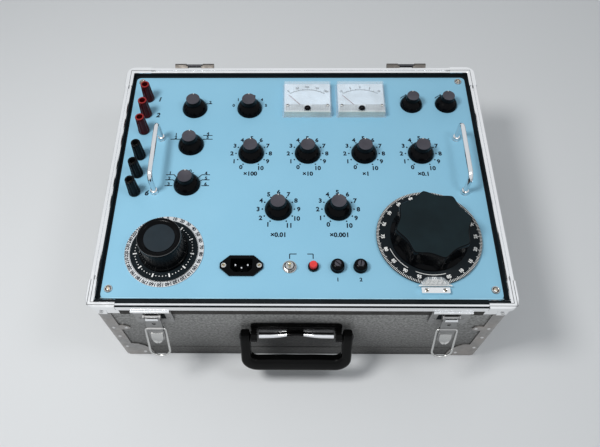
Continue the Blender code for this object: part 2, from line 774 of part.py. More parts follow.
def make_hinge_leaf(name, place_x):
    """A plate behind the rim with two open knuckles, which the lid's half slides into."""
    wall = CASE_HALF_Y + RIM_SKIRT_FACE + GAP
    bead = CASE_HALF_Y + RIM_OUTSIDE + GAP
    low = CASE_HEIGHT - HINGE_PLATE_DROP
    shoulder = CASE_HEIGHT - RIM_BEAD_HEIGHT - RIM_BEAD_TAPER - GAP
    outline = [
        (wall, low),
        (wall + HINGE_PLATE_THICKNESS, low),
        (wall + HINGE_PLATE_THICKNESS, shoulder - HINGE_SHOULDER_HEIGHT),
        (bead + HINGE_SHOULDER, shoulder),
        (bead + HINGE_SHOULDER, HINGE_AXIS_Z),
        (bead, HINGE_AXIS_Z),
        (bead, shoulder),
        (wall, shoulder - EMBED),
    ]
    half = HINGE_WIDTH / 2
    leaf = add_piece(name, prism_mesh(name, outline, -half, half, "x"),
                     dull_metal("hinge_metal"), (place_x, 0, 0))
    axis = (0, HINGE_AXIS_Y, HINGE_AXIS_Z)
    outer = half - KNUCKLE_INSET
    inner = half - KNUCKLE_LENGTH
    join(leaf, [rod_mesh("knuckle", KNUCKLE_RADIUS, inner, outer, HOLE_SIDES, "x", axis),
                rod_mesh("knuckle", KNUCKLE_RADIUS, -outer, -inner, HOLE_SIDES, "x", axis)])
    cut(leaf, [rod_mesh("bore", KNUCKLE_BORE_RADIUS, -half - OVERRUN, half + OVERRUN, HOLE_SIDES, "x", axis)])


# The latches
def make_latch(side, place_x):
    plate_top = CASE_HEIGHT - LATCH_PLATE_TOP_DROP
    half = LATCH_PLATE_WIDTH / 2
    face = LATCH_BACK_Y - LATCH_PLATE_THICKNESS
    outline = rounded_outline(half, LATCH_PLATE_HEIGHT / 2, LATCH_LEDGE_HEIGHT, CORNER_STEPS,
                              0, plate_top - LATCH_PLATE_HEIGHT / 2)
    name = f"latch_plate_{side}"
    plate = add_piece(name, prism_mesh(name, outline, face, LATCH_BACK_Y, "y"),
                      bright_metal("latch_plate_metal"), (place_x, 0, 0))
    ledge_half = half - LATCH_LEDGE_HEIGHT
    ledge_top = plate_top - GAP
    shapes = [block_mesh("ledge", (-ledge_half, face - LATCH_LEDGE_DEPTH, ledge_top - LATCH_LEDGE_HEIGHT),
                         (ledge_half, face + LATCH_PLATE_THICKNESS / 2, ledge_top))]
    for way in (-1, 1):
        near, far = sorted((way * CHEEK_INSIDE, way * (CHEEK_INSIDE + CHEEK_THICKNESS)))
        cheek = arc(LATCH_PIVOT_Y, LATCH_PIVOT_Z, CHEEK_RADIUS, math.pi / 2, 3 * math.pi / 2, 4)
        root = face + LATCH_PLATE_THICKNESS / 2
        cheek += [(root, LATCH_PIVOT_Z - CHEEK_RADIUS), (root, LATCH_PIVOT_Z + CHEEK_RADIUS)]
        shapes.append(prism_mesh("cheek", cheek, near, far, "x"))
    join(plate, shapes)
    reach = CHEEK_INSIDE + CHEEK_THICKNESS + OVERRUN
    window_low = LATCH_PIVOT_Z + HOOK_WINDOW_RISE
    cut(plate, [rod_mesh("pin_holes", TRUNNION_RADIUS + HOLE_CLEARANCE, -reach, reach, HOLE_SIDES, "x",
                         (0, LATCH_PIVOT_Y, LATCH_PIVOT_Z)),
                block_mesh("hook_window", (-HOOK_WINDOW_HALF, face - OVERRUN, window_low),
                           (HOOK_WINDOW_HALF, LATCH_BACK_Y + OVERRUN, window_low + HOOK_WINDOW_HEIGHT))])
    make_latch_lever(side, place_x)
    make_latch_bail(side, place_x)


def make_latch_lever(side, place_x):
    """A flat lever that hangs from its trunnions, with a barrel part-way for the wire bail."""
    half = LEVER_WIDTH / 2
    neck = LEVER_NECK_WIDTH / 2
    tip = arc(0, -LEVER_LENGTH + half, half, 0, -math.pi, 8)
    outline = [(neck, 0), (neck, -LEVER_NECK), (half, -LEVER_NECK - EMBED), *tip,
               (-half, -LEVER_NECK - EMBED), (-neck, -LEVER_NECK), (-neck, 0)]
    name = f"latch_lever_{side}"
    place = (place_x, LATCH_PIVOT_Y, LATCH_PIVOT_Z)
    lever = add_piece(name, prism_mesh(name, outline, -LEVER_THICKNESS / 2, LEVER_THICKNESS / 2, "y"),
                      bright_metal("latch_lever_metal"), place, (-LEVER_TILT, 0, 0))
    pin = CHEEK_INSIDE + CHEEK_THICKNESS - GAP
    bail_axis = (0, 0, -BAIL_DROP)
    join(lever, [rod_mesh("pivot_barrel", BARREL_RADIUS, -neck - END_PROUD, neck + END_PROUD,
                          HOLE_SIDES, "x"),
                 rod_mesh("trunnions", TRUNNION_RADIUS, -pin, pin, HOLE_SIDES, "x"),
                 rod_mesh("bail_barrel", BAIL_BARREL_RADIUS, -half - END_PROUD, half + END_PROUD,
                          HOLE_SIDES, "x", bail_axis)])
    side_reach = LEVER_THICKNESS + OVERRUN
    bore = BAIL_WIRE_RADIUS + HOLE_CLEARANCE
    depth = half - BAIL_GRIP - GAP
    cuts = [rod_mesh("hole", LEVER_HOLE_RADIUS, -side_reach, side_reach, HOLE_SIDES, "y",
                     (0, 0, -LEVER_HOLE_DROP)),
            rod_mesh("bail_bore", bore, depth, half + OVERRUN, HOLE_SIDES, "x", bail_axis),
            rod_mesh("bail_bore", bore, -half - OVERRUN, -depth, HOLE_SIDES, "x", bail_axis)]
    cut(lever, cuts)


def make_latch_bail(side, place_x):
    """A wire loop whose turned-in ends sit in the lever's barrel."""
    half = BAIL_WIDTH / 2 - BAIL_WIRE_RADIUS
    end = LEVER_WIDTH / 2 - BAIL_GRIP
    low = -BAIL_LENGTH + BAIL_WIRE_RADIUS
    bend = BAIL_BEND_RADIUS
    quarter = math.pi / 2
    shoulder = BAIL_SHOULDER
    path = [(end, 0), *arc(half - shoulder, -shoulder, shoulder, quarter, 0, 2),
            *arc(half - bend, low + bend, bend, 0, -quarter, 5),
            *arc(-half + bend, low + bend, bend, -quarter, -2 * quarter, 5),
            *arc(-half + shoulder, -shoulder, shoulder, 2 * quarter, quarter, 2), (-end, 0)]
    place = (place_x, LATCH_PIVOT_Y - BAIL_DROP * math.sin(LEVER_TILT),
             LATCH_PIVOT_Z - BAIL_DROP * math.cos(LEVER_TILT))
    add_tube(f"latch_bail_{side}", [(x, 0, z) for x, z in path], BAIL_WIRE_RADIUS,
             bright_metal("bail_wire"), place, (-BAIL_TILT, 0, 0))


# The carrying handle
def make_handle_base():
    wall = -(CASE_HALF_Y + GAP)
    face = wall - HANDLE_PLATE_THICKNESS
    outline = rounded_outline(HANDLE_PLATE_HALF_X, HANDLE_PLATE_HALF_Z, HANDLE_PLATE_RADIUS,
                              CORNER_STEPS, 0, HANDLE_PLATE_Z)
    base = add_piece("handle_base", prism_mesh("handle_base", outline, face, wall, "y"),
                     black_plastic("handle_base_black"), (HANDLE_X, 0, 0))
    shapes = []
    root = wall - HANDLE_PLATE_THICKNESS / 2
    for way in (-1, 1):
        outer = HANDLE_PLATE_HALF_X - END_PROUD
        near, far = sorted((way * (outer - HANDLE_LUG_WIDTH), way * outer))
        lug = arc(HANDLE_PIVOT_Y, HANDLE_PIVOT_Z, HANDLE_LUG_RADIUS, math.pi / 2, 3 * math.pi / 2, 6)
        lug += [(root, HANDLE_PIVOT_Z - HANDLE_LUG_RADIUS), (root, HANDLE_PIVOT_Z + HANDLE_LUG_RADIUS)]
        shapes.append(prism_mesh("lug", lug, near, far, "x"))
        start, end = sorted((way * (outer - EMBED), way * (HANDLE_PLATE_HALF_X + HANDLE_PIN_LENGTH)))
        shapes.append(rod_mesh("pin", HANDLE_PIN_RADIUS, start, end, HOLE_SIDES, "x",
                               (0, HANDLE_PIVOT_Y, HANDLE_PIVOT_Z)))
    join(base, shapes)


def make_handle():
    """A U-shaped handle whose arms turn on the base's pins."""
    inside = HANDLE_PLATE_HALF_X + HANDLE_SIDE_GAP
    outside = inside + HANDLE_ARM_WIDTH
    low = -HANDLE_LENGTH
    inner_low = low + HANDLE_GRIP
    corner = HANDLE_CORNER_RADIUS
    inner = HANDLE_INNER_RADIUS
    quarter = math.pi / 2
    head = HANDLE_HEAD_RADIUS
    outline = [(outside, head), *arc(outside - corner, low + corner, corner, 0, -quarter, 5),
               *arc(-outside + corner, low + corner, corner, -quarter, -2 * quarter, 5),
               (-outside, head), (-inside, head),
               *arc(-inside + inner, inner_low + inner, inner, 2 * quarter, 3 * quarter, 3),
               *arc(inside - inner, inner_low + inner, inner, 3 * quarter, 4 * quarter, 3),
               (inside, head)]
    mesh = prism_mesh("carry_handle", outline, -HANDLE_THICKNESS / 2, HANDLE_THICKNESS / 2, "y")
    handle = add_piece("carry_handle", mesh, black_plastic("handle_black"),
                       (HANDLE_X, HANDLE_PIVOT_Y, HANDLE_PIVOT_Z), (-HANDLE_TILT, 0, 0))
    bevel = handle.modifiers.new("soft_edges", "BEVEL")
    bevel.width = HANDLE_EDGE
    bevel.segments = 2
    bevel.limit_method = "ANGLE"
    bevel.angle_limit = BEVEL_ANGLE
    end = HANDLE_PLATE_HALF_X + HANDLE_PIN_LENGTH + GAP
    bore = HANDLE_PIN_RADIUS + HOLE_CLEARANCE
    cut(handle, [rod_mesh("bore", bore, inside - OVERRUN, end, HOLE_SIDES, "x"),
                 rod_mesh("bore", bore, -end, -inside + OVERRUN, HOLE_SIDES, "x")])


# Knobs
def knob_profile(height, cap, skirt):
    """From the middle of the cap down the flared side, the skirt and the shaft."""
    profile = [(0, height), (cap - KNOB_CAP_EDGE, height), (cap, height - KNOB_CAP_EDGE)]
    for out_share, up_share in KNOB_FLARE_SHARES:
        rise = (height - KNOB_SKIRT_EDGE) * up_share
        profile.append((cap + (skirt - cap) * out_share, KNOB_SKIRT_EDGE + rise))
    shaft_end = SHAFT_BOTTOM - PANEL_TOP
    profile += [(skirt, KNOB_SKIRT_EDGE), (skirt, GAP)]
    profile += [(SHAFT_RADIUS, GAP), (SHAFT_RADIUS, shaft_end), (0, shaft_end)]
    return profile


def switch_places():
    """Name and place of every rotary switch and trimmer on the panel."""
    shares = {}
    for count in range(3):
        up = SELECTOR_Y_SHARE - count * SELECTOR_PITCH_SHARE
        shares[f"selector_knob_{count + 1}"] = (SELECTOR_X_SHARE, up)
    shares["selector_knob_4"] = (SELECTOR_X_SHARE + SELECTOR_SIDE_STEP_SHARE, SELECTOR_Y_SHARE)
    for count in range(4):
        across = DECADE_X_SHARE + count * DECADE_PITCH_SHARE
        shares[f"decade_knob_{count + 1}"] = (across, DECADE_Y_SHARE)
    for count in range(2):
        across = FINE_DECADE_X_SHARE + count * DECADE_PITCH_SHARE
        shares[f"decade_knob_{count + 5}"] = (across, FINE_DECADE_Y_SHARE)
    for count in range(2):
        shares[f"trim_knob_{count + 1}"] = (TRIM_X_SHARE + count * TRIM_PITCH_SHARE, TRIM_Y_SHARE)
    return {name: (PANEL_HALF_X * across, PANEL_HALF_Y * up) for name, (across, up) in shares.items()}


def make_switch_knobs():
    for name, (x, y) in switch_places().items():
        if name.startswith("trim"):
            profile = knob_profile(TRIM_HEIGHT, TRIM_CAP_RADIUS, TRIM_SKIRT_RADIUS)
        else:
            profile = knob_profile(KNOB_HEIGHT, KNOB_CAP_RADIUS, KNOB_SKIRT_RADIUS)
        add_turned(name, profile, black_plastic("knob_black"), (x, y, PANEL_TOP))


def make_regulator():
    place = (REGULATOR_X, REGULATOR_Y, PANEL_TOP)
    bore = REGULATOR_SHAFT_RADIUS + HOLE_CLEARANCE
    top = GAP + RING_THICKNESS
    add_turned("regulator_ring", [(bore, top), (RING_RADIUS, top), (RING_RADIUS, GAP), (bore, GAP)],
               paint("ring_silver", (0.70, 0.71, 0.72), 0.35, 1.0), place, DIAL_SIDES, ring=True)
    disc_low = top + GAP
    disc_top = disc_low + REGULATOR_DISC_THICKNESS
    shaft_end = DECK_BOTTOM - GAP - CORE_SHAFT_REACH - PANEL_TOP
    profile = [
        (0, REGULATOR_HEIGHT - REGULATOR_DISH_DEPTH),
        (REGULATOR_DISH_RADIUS, REGULATOR_HEIGHT - REGULATOR_DISH_DEPTH / 2),
        (REGULATOR_TOP_RADIUS - REGULATOR_EDGE, REGULATOR_HEIGHT),
        (REGULATOR_TOP_RADIUS, REGULATOR_HEIGHT - REGULATOR_EDGE),
        (REGULATOR_BASE_RADIUS, disc_top + REGULATOR_EDGE),
        (REGULATOR_BASE_RADIUS, disc_top),
        (REGULATOR_DISC_RADIUS, disc_top),
        (REGULATOR_DISC_RADIUS, disc_low),
        (REGULATOR_SHAFT_RADIUS, disc_low),
        (REGULATOR_SHAFT_RADIUS, shaft_end),
        (0, shaft_end),
    ]
    add_turned("regulator_dial_knob", profile, black_plastic("regulator_black"), place, DIAL_SIDES)


def lobed_loop(radius, flute, height):
    """A loop that swells at each lobe and falls back between them."""
    loop = []
    for step in range(SLIDE_KNOB_POINTS):
        turn = 2 * math.pi * step / SLIDE_KNOB_POINTS
        reach = radius - flute * (1 - math.cos(SLIDE_KNOB_LOBES * turn)) / 2
        loop.append((reach * math.cos(turn), reach * math.sin(turn), height))
    return loop


def make_slide_dial():
    place = (SLIDE_X, SLIDE_Y, PANEL_TOP)
    disc_top = SLIDE_DISC_LIFT + SLIDE_DISC_THICKNESS
    bore = SLIDE_SHAFT_RADIUS + HOLE_CLEARANCE
    disc = [(bore, disc_top), (SLIDE_DISC_RADIUS, disc_top), (SLIDE_DISC_RADIUS, SLIDE_DISC_LIFT),
            (SLIDE_DISC_HUB_RADIUS, SLIDE_DISC_LIFT), (SLIDE_DISC_HUB_RADIUS, GAP), (bore, GAP)]
    add_turned("slide_dial_disc", disc, black_plastic("dial_black"), place, DIAL_SIDES, ring=True)
    low = disc_top + GAP
    rise = SLIDE_KNOB_HEIGHT - low
    loops = [lobed_loop(SLIDE_KNOB_RADIUS * out, SLIDE_KNOB_FLUTE, low + rise * up)
             for out, up in SLIDE_KNOB_SHARES]
    rim_share, dish_share = SLIDE_KNOB_DISH_SHARES
    loops.append(lobed_loop(SLIDE_KNOB_RADIUS * rim_share, SLIDE_KNOB_FLUTE / 2, SLIDE_KNOB_HEIGHT))
    loops.append(lobed_loop(SLIDE_KNOB_RADIUS * dish_share, 0, SLIDE_KNOB_HEIGHT - SLIDE_KNOB_DISH_DEPTH))
    knob = add_piece("slide_dial_knob", mesh_through("slide_dial_knob", loops),
                     black_plastic("slide_knob_black"), place)
    shaft_end = SHAFT_BOTTOM - PANEL_TOP
    join(knob, [rod_mesh("shaft", SLIDE_SHAFT_RADIUS, shaft_end, low + EMBED, HOLE_SIDES)])


def make_vernier():
    """A bar on the panel past the disc's edge, stepped on top to hold a clear scale."""
    name = "vernier_bracket"
    outline = rounded_outline(VERNIER_HALF_X, VERNIER_HALF_Y, VERNIER_RADIUS, CORNER_STEPS)
    place = (SLIDE_X, SLIDE_Y - VERNIER_OUT, PANEL_TOP)
    bar = add_piece(name, prism_mesh(name, outline, GAP, VERNIER_HEIGHT),
                    bright_metal("vernier_metal"), place)
    step_y = VERNIER_HALF_Y - VERNIER_RADIUS
    cut(bar, [block_mesh("step", (-VERNIER_HALF_X - OVERRUN, step_y, VERNIER_HEIGHT - VERNIER_STEP),
                         (VERNIER_HALF_X + OVERRUN, VERNIER_HALF_Y + OVERRUN, VERNIER_HEIGHT + OVERRUN))])


# Terminals and bow handles
def post_places():
    """Name and place of each terminal, the socketed group first."""
    places = {}
    for count in range(6):
        group, row = divmod(count, 3)
        places[f"terminal_cap_{count + 1}"] = (POST_X, POST_Y - group * POST_GROUP_STEP - row * POST_PITCH)
    return places


def make_terminals():
    bore = STUD_RADIUS + HOLE_CLEARANCE
    bore_top = POST_HEIGHT - POST_SOCKET_DEPTH - POST_ROOF
    side = [(POST_TOP_RADIUS - POST_EDGE, POST_HEIGHT), (POST_TOP_RADIUS, POST_HEIGHT - POST_EDGE),
            (POST_RADIUS, POST_FOOT), (POST_RADIUS, GAP), (bore, GAP), (bore, bore_top), (0, bore_top)]
    floor = POST_HEIGHT - POST_SOCKET_DEPTH
    for count, (name, (x, y)) in enumerate(post_places().items()):
        if count < 3:
            crown = [(0, floor), (POST_SOCKET_RADIUS, floor), (POST_SOCKET_RADIUS, POST_HEIGHT)]
            shade = paint("terminal_red", (0.42, 0.03, 0.03), 0.35)
        else:
            crown = [(0, POST_HEIGHT)]
            shade = black_plastic("terminal_black")
        add_turned(name, crown + side, shade, (x, y, PANEL_TOP), HOLE_SIDES + 2)


def make_bow_handle(name, place_x):
    """A round rod bent into a bow, with a thicker ferrule at each foot."""
    half = BOW_SPAN / 2
    top = BOW_HEIGHT - BOW_ROD_RADIUS
    bend = BOW_BEND_RADIUS
    quarter = math.pi / 2
    ferrule = GAP + BOW_FERRULE_HEIGHT
    path = [(half, GAP), (half, ferrule), (half, ferrule + BOW_FERRULE_STEP),
            *arc(half - bend, top - bend, bend, 0, quarter, 4),
            *arc(-half + bend, top - bend, bend, quarter, 2 * quarter, 4),
            (-half, ferrule + BOW_FERRULE_STEP), (-half, ferrule), (-half, GAP)]
    plain = len(path) - 4
    sizes = [BOW_FERRULE_SHARE] * 2 + [1.0] * plain + [BOW_FERRULE_SHARE] * 2
    add_tube(name, [(0, y, z) for y, z in path], BOW_ROD_RADIUS, bright_metal("bow_chrome"),
             (place_x, BOW_Y, PANEL_TOP), sizes=sizes)


# Meters
def meter_loop(foot_share, inset, height):
    """A loop of the cover's tapering side: share 1 at the foot and 0 at the top."""
    half_x = METER_TOP_HALF_X + (METER_FOOT_HALF_X - METER_TOP_HALF_X) * foot_share - inset
    half_y = METER_TOP_HALF_Y + (METER_FOOT_HALF_Y - METER_TOP_HALF_Y) * foot_share - inset
    shift = -METER_TOP_SHIFT * (1 - foot_share)
    outline = rounded_outline(half_x, half_y, METER_CORNER_RADIUS, CORNER_STEPS, 0, shift)
    return at_height(outline, height)


def make_meter(number, place_x):
    """A magnet body with its dial plate, a clear cover, a needle and a zero screw."""
    place = (place_x, METER_Y, PANEL_TOP)
    inner_top = METER_HEIGHT - METER_WALL
    cover_loops = [meter_loop(METER_WALL / METER_HEIGHT, METER_WALL, inner_top),
                   meter_loop(1, METER_WALL, GAP), meter_loop(1, 0, GAP),
                   meter_loop(METER_EDGE / METER_HEIGHT, 0, METER_HEIGHT - METER_EDGE),
                   meter_loop(0, METER_EDGE, METER_HEIGHT)]
    cover_name = f"meter_cover_{number}"
    cover = add_piece(cover_name, mesh_through(cover_name, cover_loops),
                      paint("meter_clear", (0.80, 0.80, 0.76), 0.15), place)
    pivot_y = NEEDLE_PIVOT_Y - METER_Y
    cut(cover, [rod_mesh("zero_hole", ZERO_HEAD_RADIUS + HOLE_CLEARANCE, inner_top - OVERRUN,
                         METER_HEIGHT + OVERRUN, HOLE_SIDES, "z", (0, pivot_y, 0))])
    dial_share = 1 - METER_DIAL_HEIGHT / METER_HEIGHT
    side_gap = METER_WALL + HOLE_CLEARANCE
    barrel = rounded_outline(METER_BARREL_RADIUS, METER_BARREL_RADIUS, METER_BARREL_RADIUS, CORNER_STEPS)
    body_loops = [meter_loop(dial_share, side_gap, METER_DIAL_HEIGHT), meter_loop(1, side_gap, GAP),
                  at_height(barrel, GAP), at_height(barrel, -METER_BARREL_DEPTH)]
    body_name = f"meter_body_{number}"
    add_piece(body_name, mesh_through(body_name, body_loops),
              paint("meter_dial_white", (0.82, 0.83, 0.82), 0.6), place)
    make_needle(number, place_x)
    make_zero_screw(number, place_x, inner_top)


def make_needle(number, place_x):
    name = f"meter_needle_{number}"
    hub_low = METER_DIAL_HEIGHT + GAP
    blade_low = NEEDLE_LIFT
    half = NEEDLE_WIDTH / 2
    outline = [(half, -NEEDLE_TAIL), (half, NEEDLE_LENGTH / 2), (0, NEEDLE_LENGTH),
               (-half, NEEDLE_LENGTH / 2), (-half, -NEEDLE_TAIL)]
    place = (place_x, NEEDLE_PIVOT_Y, PANEL_TOP + hub_low)
    needle = add_piece(name, prism_mesh(name, outline, blade_low, blade_low + NEEDLE_THICKNESS),
                       paint("needle_black", (0.03, 0.03, 0.03), 0.5), place, (0, 0, NEEDLE_REST))
    join(needle, [rod_mesh("hub", NEEDLE_HUB_RADIUS, 0, NEEDLE_HUB_HEIGHT, HOLE_SIDES)])


def make_zero_screw(number, place_x, inner_top):
    name = f"zero_screw_{number}"
    top = METER_HEIGHT + ZERO_PROUD
    flange_top = inner_top - GAP
    flange_low = flange_top - ZERO_FLANGE_THICKNESS
    profile = [(0, top), (ZERO_HEAD_RADIUS, top), (ZERO_HEAD_RADIUS, flange_top),
               (ZERO_FLANGE_RADIUS, flange_top), (ZERO_FLANGE_RADIUS, flange_low), (0, flange_low)]
    screw = add_turned(name, profile, black_plastic("zero_screw_black"),
                       (place_x, NEEDLE_PIVOT_Y, PANEL_TOP), HOLE_SIDES)
    reach = ZERO_HEAD_RADIUS + OVERRUN
    cut(screw, [block_mesh("slot", (-reach, -ZERO_SLOT_WIDTH / 2, top - ZERO_SLOT_DEPTH),
                           (reach, ZERO_SLOT_WIDTH / 2, top + OVERRUN))])


# Inlet, toggle, button and fuses
def make_inlet():
    place = (INLET_X, INLET_Y, PANEL_TOP)
    ends = [(1, 1), (-1, 1), (-1, -1), (1, -1)]
    outline = []
    for side_x, side_y in ends:
        corner = [(side_x * INLET_HALF_X, side_y * INLET_END_HALF_Y),
                  (side_x * INLET_FLAT_HALF_X, side_y * INLET_HALF_Y)]
        outline += corner if side_x == side_y else corner[::-1]
    inlet = add_piece("mains_inlet", prism_mesh("mains_inlet", outline, GAP, INLET_FLANGE),
                      black_plastic("inlet_black"), place)
    body = rounded_outline(INLET_BODY_HALF_X, INLET_BODY_HALF_Y, INLET_RADIUS, CORNER_STEPS)
    join(inlet, [prism_mesh("body", body, -INLET_BODY_DEPTH, INLET_FLANGE / 2)], "body")
    half_x, half_y, bevel = INLET_CAVITY_HALF_X, INLET_CAVITY_HALF_Y, INLET_CAVITY_BEVEL
    mouth = [(half_x, half_y), (-half_x, half_y), (-half_x, bevel - half_y), (bevel - half_x, -half_y),
             (half_x - bevel, -half_y), (half_x, bevel - half_y)]
    floor = INLET_FLANGE - INLET_CAVITY_DEPTH
    cut(inlet, [prism_mesh("cavity", mouth, floor, INLET_FLANGE + OVERRUN)])
    pins = []
    spread, offset = INLET_PIN_SPREAD, INLET_PIN_OFFSET
    for x, y in ((-spread, offset), (spread, offset), (0, -offset)):
        pins.append(block_mesh("pin", (x - INLET_PIN_HALF_X, y - INLET_PIN_HALF_Y, floor - EMBED),
                               (x + INLET_PIN_HALF_X, y + INLET_PIN_HALF_Y, floor + INLET_PIN_LENGTH)))
    join(inlet, pins, "pins")


def make_toggle():
    place = (TOGGLE_X, SERVICE_Y, PANEL_TOP)
    washer_top = GAP + TOGGLE_WASHER_THICKNESS
    nut_top = washer_top + TOGGLE_NUT_HEIGHT
    low = -PANEL_THICKNESS
    profile = [
        (TOGGLE_BORE_RADIUS, TOGGLE_SLEEVE_HEIGHT),
        (TOGGLE_SLEEVE_RADIUS, TOGGLE_SLEEVE_HEIGHT),
        (TOGGLE_SLEEVE_RADIUS, nut_top),
        (TOGGLE_NUT_RADIUS, nut_top),
        (TOGGLE_NUT_RADIUS, washer_top),
        (TOGGLE_WASHER_RADIUS, washer_top),
        (TOGGLE_WASHER_RADIUS, GAP),
        (TOGGLE_SLEEVE_RADIUS, GAP),
        (TOGGLE_SLEEVE_RADIUS, low),
        (TOGGLE_BORE_RADIUS, low),
    ]
    add_turned("toggle_bush", profile, bright_metal("toggle_metal"), place, KNOB_SIDES, ring=True)
    ball = [(TOGGLE_BALL_RADIUS * math.sin(turn), TOGGLE_BALL_RADIUS * math.cos(turn))
            for turn in map(math.radians, TOGGLE_BALL_ANGLES)]
    tip = [(TOGGLE_TIP_RADIUS * out, TOGGLE_LENGTH - TOGGLE_TIP_RADIUS * down)
           for out, down in TOGGLE_TIP_SHARES]
    waist = [(TOGGLE_STEM_RADIUS, TOGGLE_SLEEVE_HEIGHT - TOGGLE_PIVOT_HEIGHT)]
    pivot = (TOGGLE_X, SERVICE_Y, PANEL_TOP + TOGGLE_PIVOT_HEIGHT)
    add_turned("toggle_lever", tip + waist + ball + [(0, -TOGGLE_BALL_RADIUS)],
               bright_metal("toggle_lever_metal"), pivot, HOLE_SIDES, (TOGGLE_TILT, 0, 0))


def make_button():
    place = (BUTTON_X, SERVICE_Y, PANEL_TOP)
    bore = BUTTON_RADIUS + HOLE_CLEARANCE
    low = -PANEL_THICKNESS
    bezel = [(bore, BEZEL_HEIGHT), (BEZEL_RADIUS - BEZEL_EDGE, BEZEL_HEIGHT),
             (BEZEL_RADIUS, BEZEL_HEIGHT - BEZEL_EDGE), (BEZEL_RADIUS, GAP),
             (BEZEL_SLEEVE_RADIUS, GAP), (BEZEL_SLEEVE_RADIUS, low), (bore, low)]
    add_turned("button_bezel", bezel, black_plastic("bezel_black"), place, KNOB_SIDES, ring=True)
    cap = [(0, BUTTON_HEIGHT), (BUTTON_RADIUS - BUTTON_EDGE, BUTTON_HEIGHT),
           (BUTTON_RADIUS, BUTTON_HEIGHT - BUTTON_EDGE), (BUTTON_RADIUS, -BUTTON_REACH), (0, -BUTTON_REACH)]
    add_turned("push_button", cap, paint("button_red", (0.70, 0.05, 0.04), 0.4), place)


def make_fuse_caps():
    for count in range(2):
        dome = [(0, FUSE_HEIGHT)] + [(FUSE_RADIUS * out, FUSE_HEIGHT * up) for out, up in FUSE_DOME_SHARES]
        profile = dome + [(FUSE_RADIUS, GAP), (FUSE_STEM_RADIUS, GAP), (FUSE_STEM_RADIUS, -FUSE_STEM_REACH),
                          (0, -FUSE_STEM_REACH)]
        add_turned(f"fuse_cap_{count + 1}", profile, black_plastic("fuse_black"),
                   (FUSE_X + count * FUSE_PITCH, SERVICE_Y, PANEL_TOP), HOLE_SIDES + 2)


# The panel and what hangs under it
def make_panel():
    outline = rounded_outline(PANEL_HALF_X, PANEL_HALF_Y, PANEL_CORNER_RADIUS, CORNER_STEPS)
    panel = add_piece("panel", prism_mesh("panel", outline, PANEL_BOTTOM, PANEL_TOP),
                      paint("panel_blue", (0.25, 0.52, 0.72), 0.45))
    holes = [(x, y, SHAFT_RADIUS) for x, y in switch_places().values()]
    holes += [(x, y, STUD_RADIUS) for x, y in post_places().values()]
    holes += [(FUSE_X + count * FUSE_PITCH, SERVICE_Y, FUSE_STEM_RADIUS) for count in range(2)]
    holes += [(METER_X + count * METER_PITCH, METER_Y, METER_BARREL_RADIUS) for count in range(2)]
    holes += [(REGULATOR_X, REGULATOR_Y, REGULATOR_SHAFT_RADIUS), (SLIDE_X, SLIDE_Y, SLIDE_SHAFT_RADIUS),
              (TOGGLE_X, SERVICE_Y, TOGGLE_SLEEVE_RADIUS), (BUTTON_X, SERVICE_Y, BEZEL_SLEEVE_RADIUS)]
    low, high = PANEL_BOTTOM - OVERRUN, PANEL_TOP + OVERRUN
    cutters = []
    for x, y, radius in holes:
        sides = KNOB_SIDES + 2 if radius > KNOB_SKIRT_RADIUS else HOLE_SIDES
        cutters.append(rod_mesh("hole", radius + HOLE_CLEARANCE, low, high, sides, "z", (x, y, 0)))
    window = rounded_outline(INLET_BODY_HALF_X + HOLE_CLEARANCE, INLET_BODY_HALF_Y + HOLE_CLEARANCE,
                             INLET_RADIUS, CORNER_STEPS, INLET_X, INLET_Y)
    cutters.append(prism_mesh("inlet_window", window, low, high))
    cut(panel, cutters)


